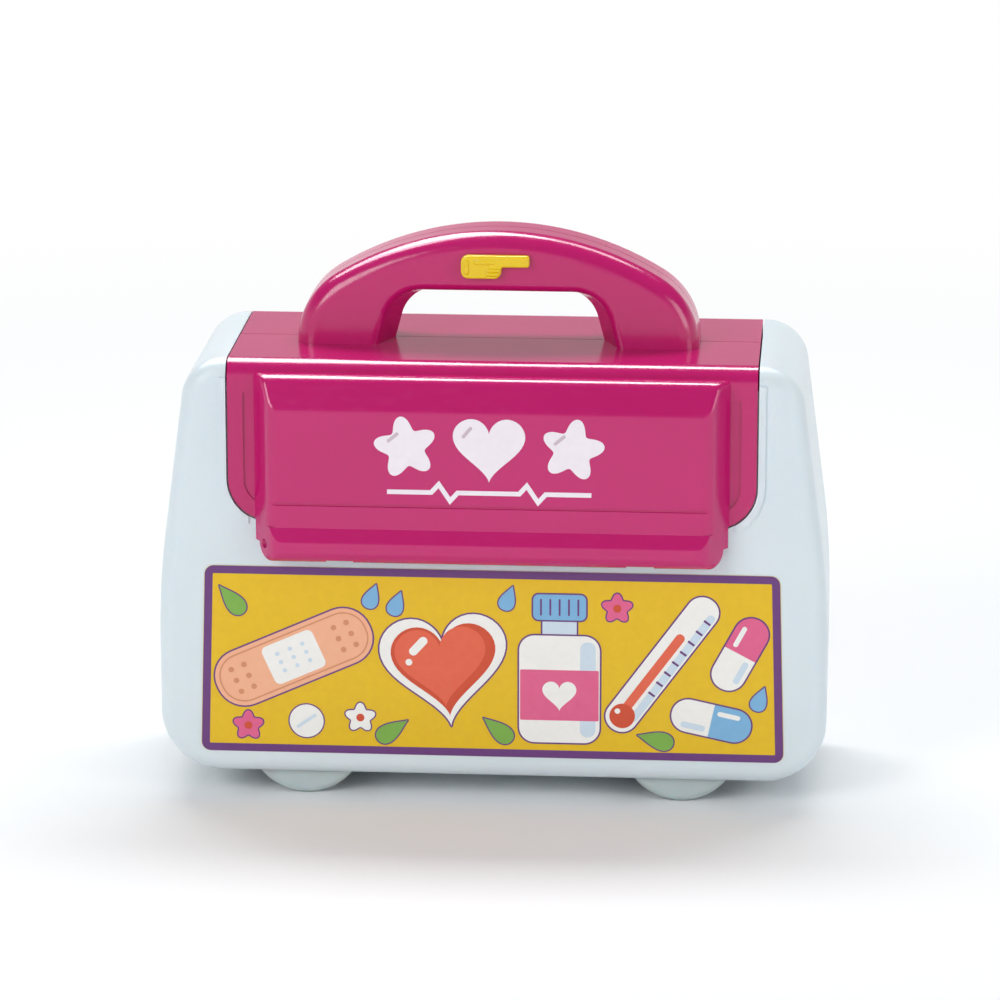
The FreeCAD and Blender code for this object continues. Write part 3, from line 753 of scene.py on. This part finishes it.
@dataclass(frozen=True)
class BigHeart(Motif):
    """A large heart with a pale rim, a darker edge on one side and a shine."""

    rim_mm: float = 41.0
    edge_mm: float = 34.0
    face_mm: float = 29.5
    face_place_mm: Spot = (-1.0, 1.0)
    shine_mm: Bar = (7.5, 2.8, 1.35)
    shine_degrees: float = 42.0
    shine_place_mm: Spot = (-7.8, 7.9)
    spark_mm: Bar = (2.2, 2.2, 1.05)
    spark_place_mm: Spot = (-11.4, 2.8)

    def lay(self, art: Print, line_mm: float) -> None:
        """Lay the rim, the edge, the face and the shine.

        Args:
            art: Print that it goes into.
            line_mm: Width of the outline.
        """
        art.motif(Ink.WHITE, 2, self.placed(heart_outline(self.rim_mm)), line_mm)
        art.fill(Ink.ORANGE, 4, self.placed(heart_outline(self.edge_mm)))
        art.fill(Ink.CORAL, 5, self.placed(heart_outline(self.face_mm), *self.face_place_mm))
        shine = turned(bar_outline(*self.shine_mm), self.shine_degrees, *self.shine_place_mm)
        art.fill(Ink.WHITE, 6, self.placed(shine))
        art.fill(Ink.WHITE, 6, self.bar(self.spark_mm, *self.spark_place_mm))


@dataclass(frozen=True)
class Bottle(Motif):
    """A medicine bottle: a rounded body with a shaded side, a neck, a ribbed cap and a band."""

    neck_mm: Bar = (11.0, 12.0, 1.0)
    neck_up_mm: float = 14.0
    body_mm: Bar = (26.0, 36.0, 5.0)
    body_up_mm: float = -6.5
    shade_mm: Bar = (5.0, 32.0, 2.4)
    shade_across_mm: float = 9.2
    band_mm: Bar = (25.4, 17.0, 0.4)
    band_up_mm: float = -8.5
    sign_mm: float = 11.0
    cap_mm: Bar = (17.0, 8.5, 1.8)
    cap_up_mm: float = 21.0
    rib_mm: Bar = (0.6, 5.6, 0.25)
    rib_reach_mm: float = 6.0
    ribs: int = 5

    def lay(self, art: Print, line_mm: float) -> None:
        """Lay the neck, the body with its shade and band, and the ribbed cap.

        Args:
            art: Print that it goes into.
            line_mm: Width of the outline.
        """
        art.motif(Ink.PALE, 2, self.bar(self.neck_mm, 0.0, self.neck_up_mm), line_mm)
        art.motif(Ink.WHITE, 4, self.bar(self.body_mm, 0.0, self.body_up_mm), line_mm)
        art.fill(Ink.PALE, 6, self.bar(self.shade_mm, self.shade_across_mm, self.body_up_mm))
        art.fill(Ink.PINK, 7, self.bar(self.band_mm, 0.0, self.band_up_mm))
        art.fill(Ink.WHITE, 8, self.placed(heart_outline(self.sign_mm), 0.0, self.band_up_mm))
        art.motif(Ink.BLUE, 4, self.bar(self.cap_mm, 0.0, self.cap_up_mm), line_mm)
        for across in np.linspace(-self.rib_reach_mm, self.rib_reach_mm, self.ribs):
            art.fill(Ink.PURPLE, 6, self.bar(self.rib_mm, across, self.cap_up_mm))


@dataclass(frozen=True)
class Thermometer(Motif):
    """A thermometer: a white tube with a shaded side, a column, a bulb and its marks."""

    tube_mm: Bar = (10.5, 54.0, 5.1)
    shade_mm: Bar = (2.6, 44.0, 1.2)
    shade_place_mm: Spot = (3.4, 1.0)
    column_mm: Bar = (3.0, 34.0, 1.4)
    column_place_mm: Spot = (-0.6, -5.0)
    bulb_mm: Bar = (8.2, 8.2, 4.0)
    bulb_up_mm: float = -21.6
    spark_mm: Bar = (1.8, 1.8, 0.85)
    spark_place_mm: Spot = (-2.2, -21.2)
    mark_mm: Bar = (2.6, 0.75, 0.3)
    mark_across_mm: float = 3.2
    mark_span_mm: Spot = (-10.0, 20.0)
    marks: int = 8

    def lay(self, art: Print, line_mm: float) -> None:
        """Lay the tube, its shade, the column with its bulb, and the marks.

        Args:
            art: Print that it goes into.
            line_mm: Width of the outline.
        """
        art.motif(Ink.WHITE, 2, self.bar(self.tube_mm), line_mm)
        art.fill(Ink.PALE, 4, self.bar(self.shade_mm, *self.shade_place_mm))
        art.fill(Ink.CORAL, 5, self.bar(self.column_mm, *self.column_place_mm))
        art.fill(Ink.ORANGE, 6, self.bar(self.bulb_mm, 0.0, self.bulb_up_mm))
        art.fill(Ink.WHITE, 7, self.bar(self.spark_mm, *self.spark_place_mm))
        for up in np.linspace(*self.mark_span_mm, self.marks):
            art.fill(Ink.PURPLE, 5, self.bar(self.mark_mm, self.mark_across_mm, up))


@dataclass(frozen=True)
class Capsule(Motif):
    """A capsule: a round ended bar of which one half has a colour."""

    ink: Ink = Ink.PINK
    shell_mm: Bar = (26.0, 11.0, 5.4)
    shade_mm: Bar = (8.0, 2.0, 0.9)
    shade_place_mm: Spot = (-5.4, -3.2)
    shine_mm: Bar = (7.5, 1.6, 0.75)
    shine_place_mm: Spot = (5.2, 2.8)

    def lay(self, art: Print, line_mm: float) -> None:
        """Lay the shell, its coloured half, the shade and the shine.

        Args:
            art: Print that it goes into.
            line_mm: Width of the outline.
        """
        shell = bar_outline(*self.shell_mm)
        half = np.stack([np.maximum(shell[:, 0], 0.0), shell[:, 1]], axis=-1)
        art.motif(Ink.WHITE, 2, self.placed(shell), line_mm)
        art.fill(self.ink, 4, self.placed(half))
        art.fill(Ink.PALE, 4, self.bar(self.shade_mm, *self.shade_place_mm))
        art.fill(Ink.WHITE, 5, self.bar(self.shine_mm, *self.shine_place_mm))


@dataclass(frozen=True)
class Flower(Motif):
    """A small flower with a round middle."""

    ink: Ink = Ink.PINK
    radius_mm: float = 5.0
    petals: int = 5
    depth_share: float = 0.18
    middle_mm: Bar = (2.6, 2.6, 1.25)

    def lay(self, art: Print, line_mm: float) -> None:
        """Lay the petals and the middle.

        Args:
            art: Print that it goes into.
            line_mm: Width of the outline.
        """
        petals = petal_outline(self.radius_mm, self.petals, self.depth_share)
        art.motif(self.ink, 2, self.placed(petals), line_mm)
        art.fill(Ink.ORANGE, 4, self.bar(self.middle_mm))


@dataclass(frozen=True)
class Drop(Motif):
    """A small drop."""

    degrees: float = -20.0
    ink: Ink = Ink.BLUE
    width_mm: float = 5.6
    height_mm: float = 8.6

    def lay(self, art: Print, line_mm: float) -> None:
        """Lay the drop."""
        art.motif(self.ink, 2, self.placed(drop_outline(self.width_mm, self.height_mm)), line_mm)


@dataclass(frozen=True)
class Leaf(Drop):
    """A leaf: a larger green drop."""

    ink: Ink = Ink.GREEN
    width_mm: float = 6.5
    height_mm: float = 12.0


@dataclass(frozen=True)
class Tablet(Motif):
    """A round tablet with a score line."""

    face_mm: Bar = (11.0, 11.0, 5.4)
    score_mm: Bar = (7.6, 1.0, 0.45)

    def lay(self, art: Print, line_mm: float) -> None:
        """Lay the tablet and its score."""
        art.motif(Ink.WHITE, 2, self.bar(self.face_mm), line_mm)
        art.fill(Ink.PALE, 4, self.bar(self.score_mm))


# Sub-assemblies

@dataclass
class BodyShells:
    """The white shells and their screws."""

    shells: tuple[str, ...] = ("front_shell", "rear_shell")
    screws: tuple[str, ...] = ("shell_screws",)

    def dress(self) -> None:
        """Give the shells and the screws their finishes."""
        for name in self.shells:
            dress_node(name, Plastic.WHITE_SHELL.value)
        for name in self.screws:
            dress_node(name, Metal.ZINC.value)


@dataclass
class Sticker:
    """The sticker on the front: a mustard field in a purple border, with first aid things on it."""

    node: str = "front_label"
    border_mm: float = 2.6
    corner_mm: float = 3.0
    top_inset_mm: float = 2.0
    line_mm: float = 0.55
    fine_line_mm: float = 0.45
    layer_mm: float = 0.02
    # Places are from the sticker's middle, from left to right
    large: tuple[Motif, ...] = (
        Plaster(-64.0, 1.0, 24.0),
        BigHeart(-15.0, -1.5, 6.0),
        Bottle(22.0, -1.5),
        Thermometer(55.0, 1.0, -36.0),
        Capsule(80.0, 5.0, 62.0),
        Capsule(71.0, -17.5, -12.0, Ink.BLUE),
    )
    small: tuple[Motif, ...] = (
        Flower(-79.0, -22.4),
        Flower(-42.5, -19.0, ink=Ink.WHITE),
        Flower(40.5, 19.5),
        Drop(-38.5, 22.0),
        Drop(-30.5, 19.8),
        Drop(5.5, 22.3),
        Drop(86.6, -9.8),
        Leaf(-84.0, 20.0, 40.0),
        Leaf(-32.0, -23.0, -55.0),
        Leaf(53.0, -24.3, 76.0),
        Leaf(2.0, -22.0, 50.0),
        Tablet(-60.0, -20.5, 35.0),
    )

    def outline(self) -> np.ndarray:
        """Give the sticker's outline: a rounded shape a little narrower at its top.

        Returns:
            Rows of u and v in millimetres, with v from its middle.
        """
        low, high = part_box(self.node)
        left, right = low.x / MM, high.x / MM
        top = (high.z - low.z) / 2 / MM
        inset = self.top_inset_mm
        corners = [[left, -top], [right, -top], [right - inset, top], [left + inset, top]]
        return rounded_outline(np.array(corners), self.corner_mm)

    def build(self) -> None:
        """Lay the border and every motif."""
        low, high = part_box(self.node)
        art = Print("sticker", low.y, (low.z + high.z) / 2, self.layer_mm, "body")
        art.ring(Ink.PURPLE, 1, self.outline(), self.border_mm)
        for motif in self.large:
            motif.lay(art, self.line_mm)
        for motif in self.small:
            motif.lay(art, self.fine_line_mm)
        art.make()

    def dress(self) -> None:
        """Give the sticker its mustard field."""
        dress_node(self.node, Ink.MUSTARD.value)


@dataclass
class Flaps:
    """The pink flaps with their pins, and the print on the front panel."""

    shells: tuple[str, ...] = ("front_flap", "rear_flap")
    pins: tuple[str, ...] = ("front_hinge_pin", "rear_hinge_pin")
    bead_step_mm: float = 2.0
    print_height_mm: float = 121.0
    heart_mm: float = 23.0
    heart_shine_mm: Spot = (-7.0, 5.2)
    heart_shine_degrees: float = 50.0
    star_mm: float = 10.2
    star_place_mm: float = 26.5
    star_lean_degrees: float = 10.0
    star_points: int = 5
    star_depth_share: float = 0.2
    star_shine_mm: Spot = (-4.1, 3.2)
    star_shine_degrees: float = 40.0
    shine_mm: Bar = (4.6, 1.1, 0.5)
    pulse_drop_mm: float = 14.6
    pulse_half_mm: float = 32.5
    pulse_line_mm: float = 1.5
    beat_places_mm: tuple[float, ...] = (-14.0, 14.0)
    beat_mm: tuple[Spot, ...] = ((-4.4, 0.0), (-2.0, 2.7), (1.6, -2.7), (4.0, 0.0))
    layer_mm: float = 0.03

    def pulse(self) -> np.ndarray:
        """Give the pulse line's points: a flat run with two beats, each a peak and a dip.

        Returns:
            Rows of u and v in millimetres.
        """
        shifts = np.array([[place, 0.0] for place in self.beat_places_mm])
        beats = shifts[:, None, :] + np.array(self.beat_mm)
        ends = np.array([[-self.pulse_half_mm, 0.0], [self.pulse_half_mm, 0.0]])
        return np.concatenate([ends[:1], beats.reshape(-1, 2), ends[1:]])

    def lay_sign(self, art: Print, outline: np.ndarray, lean: float, place: float) -> None:
        """Lay one white sign of the upper row, turned by its lean and moved across to its place."""
        art.fill(Ink.PANEL_WHITE, 1, turned(outline, lean, place, 0.0))

    def lay_shine(self, art: Print, spot: Spot, degrees: float, place: float) -> None:
        """Lay the grey shine of one sign, at a spot from the middle of the sign at a place."""
        shine = turned(bar_outline(*self.shine_mm), degrees, place + spot[0], spot[1])
        art.fill(Ink.PANEL_GREY, 2, shine)

    def build(self) -> None:
        """Print a white heart between two stars, and a pulse line below, on the front panel."""
        low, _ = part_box("front_flap")
        front, level = low.y + self.bead_step_mm * MM, self.print_height_mm * MM
        art = Print("panel_print", front, level, self.layer_mm, "front_flap")
        self.lay_sign(art, heart_outline(self.heart_mm), 0.0, 0.0)
        self.lay_shine(art, self.heart_shine_mm, self.heart_shine_degrees, 0.0)
        star = petal_outline(self.star_mm, self.star_points, self.star_depth_share)
        for side in (-1, 1):
            place = side * self.star_place_mm
            self.lay_sign(art, star, -side * self.star_lean_degrees, place)
            self.lay_shine(art, self.star_shine_mm, self.star_shine_degrees, place)
        line = line_band(self.pulse(), self.pulse_line_mm) - np.array([0.0, self.pulse_drop_mm])
        art.lay(Ink.PANEL_WHITE, 1, line.reshape(-1, 2), grid_faces(2, line.shape[1], False))
        art.make()

    def dress(self) -> None:
        """Give the flaps and the pins their finishes."""
        for name in self.shells:
            dress_node(name, Plastic.PINK_SHELL.value)
        for name in self.pins:
            dress_node(name, Metal.ZINC.value)


@dataclass
class SlideLatch:
    """The yellow latch in the handle, with its inner pieces."""

    yellow: tuple[str, ...] = ("latch_knob", "latch_bolt", "latch_keeper")
    screws: tuple[str, ...] = ("latch_retainer_screws", "latch_keeper_screws")
    plate: str = "latch_retainer"
    rise_mm: float = 0.5
    sink_mm: float = 0.1
    steps: int = 40
    rings: int = 9
    pole_share: float = 0.08
    palm_mm: float = 13.0
    # Place from the palm's end and the knob's top, and half of the length and of the height
    fingers_mm: tuple[tuple[float, float, float, float], ...] = (
        (-2.6, -4.75, 2.5, 0.62), (-2.8, -5.95, 2.3, 0.58), (-3.4, -6.95, 1.7, 0.42), (-5.4, -2.1, 3.6, 0.85),
    )
    cuff_place_mm: float = 1.9
    cuff_mm: Spot = (0.75, 2.6)

    def relief(self, u: float, v: float, half_u: float, half_v: float) -> tuple[np.ndarray, np.ndarray]:
        """Give one low rounded finger on the knob's front.

        Its plan is a superellipse of the fourth power, and its height falls from the middle as the
        square root of one minus the fourth power of the ring's share.

        Args:
            u: Place of its middle across, in millimetres.
            v: Place of its middle upwards, in millimetres.
            half_u: Half of its length.
            half_v: Half of its height.

        Returns:
            Its points in metres and its faces.
        """
        low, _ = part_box("latch_knob")
        front = low.y / MM
        turn = np.linspace(0, 2 * np.pi, self.steps, endpoint=False)
        share = np.linspace(1, self.pole_share, self.rings)[:, None]
        across = np.sign(np.cos(turn)) * np.sqrt(np.abs(np.cos(turn))) * half_u
        upwards = np.sign(np.sin(turn)) * np.sqrt(np.abs(np.sin(turn))) * half_v
        height = (self.rise_mm + self.sink_mm) * np.sqrt(1 - share**4)
        depth = front + self.sink_mm - height * np.ones_like(turn)
        grid = np.stack([u + share * across, depth, v + share * upwards], axis=-1).reshape(-1, 3)
        points = np.concatenate([grid, [[u, front - self.rise_mm, v]]]) * MM
        return points, capped_faces(self.rings, self.steps)

    def build(self) -> None:
        """Raise three folded fingers, a thumb and a cuff on the pointing knob."""
        low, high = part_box("latch_knob")
        left, top, bottom = low.x / MM, high.z / MM, low.z / MM
        reach = left + self.palm_mm
        places = [(reach + across, top + up, *halves) for across, up, *halves in self.fingers_mm]
        places.append((left + self.cuff_place_mm, (top + bottom) / 2, *self.cuff_mm))
        points, faces = joined([self.relief(*place) for place in places])
        piece = mesh_piece("knob_fingers", points, faces, Plastic.YELLOW_LATCH.value, "latch")

    def dress(self) -> None:
        """Give the latch's pieces their finishes."""
        for name in self.yellow:
            dress_node(name, Plastic.YELLOW_LATCH.value)
        for name in self.screws:
            dress_node(name, Metal.ZINC.value)
        dress_node(self.plate, Plastic.WHITE_TRIM.value)


@dataclass
class WheelSets:
    """The axles with their wheels and caps."""

    hands: tuple[str, ...] = ("left", "right")

    def dress(self) -> None:
        """Give the wheels, axles and caps their finishes."""
        for hand in self.hands:
            dress_node(f"{hand}_axle", Metal.ZINC.value)
            dress_node(f"{hand}_axle_caps", Plastic.WHITE_TRIM.value)
            for end in ("front", "rear"):
                dress_node(f"{end}_{hand}_wheel", Plastic.WHEEL.value)


@dataclass(frozen=True)
class Lamp:
    """A soft lamp that faces the middle of the case, or a card that shows in the gloss alone."""

    name: str
    place_m: tuple[float, float, float]
    sides_mm: tuple[float, float]
    watts: float
    sheen_only: bool = False
    aim_m: tuple[float, float, float] = (0.0, 0.0, 0.09)

    def build(self) -> None:
        """Make the lamp, unseen by the camera."""
        data = bpy.data.lights.new(self.name, "AREA")
        data.shape = "RECTANGLE"
        data.size = self.sides_mm[0] * MM
        data.size_y = self.sides_mm[1] * MM
        data.energy = self.watts
        lamp = bpy.data.objects.new(self.name, data)
        lamp.location = self.place_m
        lamp.visible_camera = False
        lamp.visible_diffuse = not self.sheen_only
        aim = Vector(self.aim_m) - Vector(self.place_m)
        lamp.rotation_euler = aim.to_track_quat("-Z", "Y").to_euler()
        bpy.context.scene.collection.objects.link(lamp)
        log.info("lit %s with %.1f W", self.name, self.watts)


@dataclass
class Studio:
    """The pale floor, the soft lamps and the camera."""

    azimuth: float = 4.2
    elevation: float = 15.1
    distance_mm: float = 1600.0
    sensor_mm: float = 36.0
    fill_share: float = 0.66
    lamps: tuple[Lamp, ...] = (
        Lamp("overhead_lamp", (0.0, 0.45, 1.15), (1200.0, 320.0), 10.0),
        Lamp("front_left_lamp", (-0.85, -1.15, 0.75), (700.0, 700.0), 8.8),
        Lamp("right_lamp", (1.1, -0.7, 0.5), (600.0, 600.0), 3.9),
        Lamp("sheen_card", (-0.4, 0.5, 1.2), (1000.0, 900.0), 30.0, sheen_only=True),
    )
    white: str = "#FFFFFF"
    sky_colour: str = "#EEF3F6"
    sky_strength: float = 0.46
    horizon_rise: float = 0.05
    ceiling_rise: float = 0.4
    ceiling_strength: float = 0.12
    floor_colour: str = "#F4F5F6"
    floor_rings_mm: tuple[float, ...] = (9000.0, 2000.0, 600.0, 200.0, 1.0)
    floor_steps: int = 96
    fade_start_mm: float = 260.0
    fade_end_mm: float = 900.0

    def build_camera(self) -> None:
        """Aim a camera without shift at the middle of the case, from the photograph's side."""
        low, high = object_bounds()
        middle = (low + high) / 2
        turn, rise = math.radians(self.azimuth), math.radians(self.elevation)
        back = Vector((math.sin(turn) * math.cos(rise), -math.cos(turn) * math.cos(rise), math.sin(rise)))
        data = bpy.data.cameras.new("camera")
        data.sensor_width = self.sensor_mm
        data.lens = self.sensor_mm * self.fill_share * self.distance_mm / ((high.x - low.x) / MM)
        camera = bpy.data.objects.new("camera", data)
        camera.location = middle + back * self.distance_mm * MM
        camera.rotation_euler = (-back).to_track_quat("-Z", "Y").to_euler()
        bpy.context.scene.collection.objects.link(camera)
        bpy.context.scene.camera = camera
        log.info("camera with a %.0f mm lens", data.lens)

    def seen_directly(self, tree: bpy.types.NodeTree) -> bpy.types.NodeSocket:
        """Tell the rays that show the surroundings from the rays that light the case.

        Args:
            tree: Tree that the nodes go into.

        Returns:
            A socket that gives 1 for camera, glossy and transmission rays and 0 for the others.
        """
        path = add_node(tree, "ShaderNodeLightPath", {})
        either = add_node(
            tree, "ShaderNodeMath",
            {0: path.outputs["Is Camera Ray"], 1: path.outputs["Is Glossy Ray"]}, operation="MAXIMUM",
        )
        return add_node(
            tree, "ShaderNodeMath",
            {0: either.outputs["Value"], 1: path.outputs["Is Transmission Ray"]}, operation="MAXIMUM",
        ).outputs["Value"]

    def build_sky(self) -> None:
        """Make a sky that looks white and lights the case softly.

        In reflections it is white at the horizon and falls to a grey ceiling above.
        """
        world = bpy.data.worlds.new("sky")
        world.use_nodes = True
        tree = world.node_tree
        tree.nodes.clear()
        soft = add_node(
            tree, "ShaderNodeBackground", {"Color": linear(self.sky_colour), "Strength": self.sky_strength},
        )
        way = add_node(tree, "ShaderNodeTexCoord", {}).outputs["Generated"]
        rise = add_node(tree, "ShaderNodeSeparateXYZ", {"Vector": way}).outputs["Z"]
        wall = add_node(
            tree, "ShaderNodeMapRange",
            {
                "Value": rise, "From Min": self.horizon_rise, "From Max": self.ceiling_rise,
                "To Min": 1.0, "To Max": self.ceiling_strength,
            },
            interpolation_type="SMOOTHSTEP",
        )
        straight = add_node(tree, "ShaderNodeLightPath", {}).outputs["Is Camera Ray"]
        level = add_node(
            tree, "ShaderNodeMath", {0: wall.outputs["Result"], 1: straight}, operation="MAXIMUM",
        )
        white = add_node(
            tree, "ShaderNodeBackground", {"Color": linear(self.white), "Strength": level.outputs["Value"]},
        )
        mixed = add_node(
            tree, "ShaderNodeMixShader",
            {0: self.seen_directly(tree), 1: soft.outputs["Background"], 2: white.outputs["Background"]},
        )
        add_node(tree, "ShaderNodeOutputWorld", {"Surface": mixed.outputs["Shader"]})
        bpy.context.scene.world = world

    def floor_material(self) -> bpy.types.Material:
        """Make the floor's material, which fades to white far from the case.

        Returns:
            The material.
        """
        # Matt painted board: no sheen, so it carries the shadow alone
        material = new_material("matt_painted_board")
        tree = material.node_tree
        place = add_node(tree, "ShaderNodeTexCoord", {}).outputs["Object"]
        reach = add_node(tree, "ShaderNodeVectorMath", {0: place}, operation="LENGTH")
        fade = add_node(
            tree, "ShaderNodeMapRange",
            {
                "Value": reach.outputs["Value"], "From Min": self.fade_start_mm * MM,
                "From Max": self.fade_end_mm * MM,
            },
            interpolation_type="SMOOTHSTEP",
        )
        shown = add_node(
            tree, "ShaderNodeMath",
            {0: fade.outputs["Result"], 1: self.seen_directly(tree)}, operation="MULTIPLY",
        )
        pale = add_node(tree, "ShaderNodeBsdfDiffuse", {"Color": linear(self.floor_colour)})
        white = add_node(tree, "ShaderNodeEmission", {"Color": linear(self.white), "Strength": 1.0})
        mixed = add_node(
            tree, "ShaderNodeMixShader",
            {0: shown.outputs["Value"], 1: pale.outputs["BSDF"], 2: white.outputs["Emission"]},
        )
        add_node(tree, "ShaderNodeOutputMaterial", {"Surface": mixed.outputs["Shader"]})
        return material

    def build_floor(self) -> None:
        """Lay a round floor: rings of points about the origin, closed by a fan in their middle."""
        turn = np.linspace(0, 2 * np.pi, self.floor_steps, endpoint=False)
        reach = np.array(self.floor_rings_mm)[:, None]
        rings = np.stack([reach * np.cos(turn), reach * np.sin(turn), 0 * reach * turn], axis=-1)
        points = np.concatenate([rings.reshape(-1, 3), [[0.0, 0.0, 0.0]]]) * MM
        faces = capped_faces(len(reach), self.floor_steps)
        split = len(faces) - self.floor_steps
        mesh = bpy.data.meshes.new("floor")
        mesh.from_pydata(points.tolist(), [], faces[:split].tolist() + faces[split:, :3].tolist())
        mesh.materials.append(self.floor_material())
        floor = bpy.data.objects.new("floor", mesh)
        bpy.context.scene.collection.objects.link(floor)
        floor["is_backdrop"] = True

    def build(self) -> None:
        """Build all of the studio."""
        bpy.context.scene.view_settings.view_transform = "Standard"
        self.build_camera()
        for lamp in self.lamps:
            lamp.build()
        self.build_sky()
        self.build_floor()


def main() -> None:
    """Dress the frame, add the prints and set up the studio."""
    logging.basicConfig(level=logging.INFO, format="%(name)s: %(message)s")
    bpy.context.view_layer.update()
    BodyShells().dress()
    sticker = Sticker()
    sticker.build()
    sticker.dress()
    flaps = Flaps()
    flaps.build()
    flaps.dress()
    latch = SlideLatch()
    latch.build()
    latch.dress()
    WheelSets().dress()
    Studio().build()


if __name__ == "__main__":
    main()
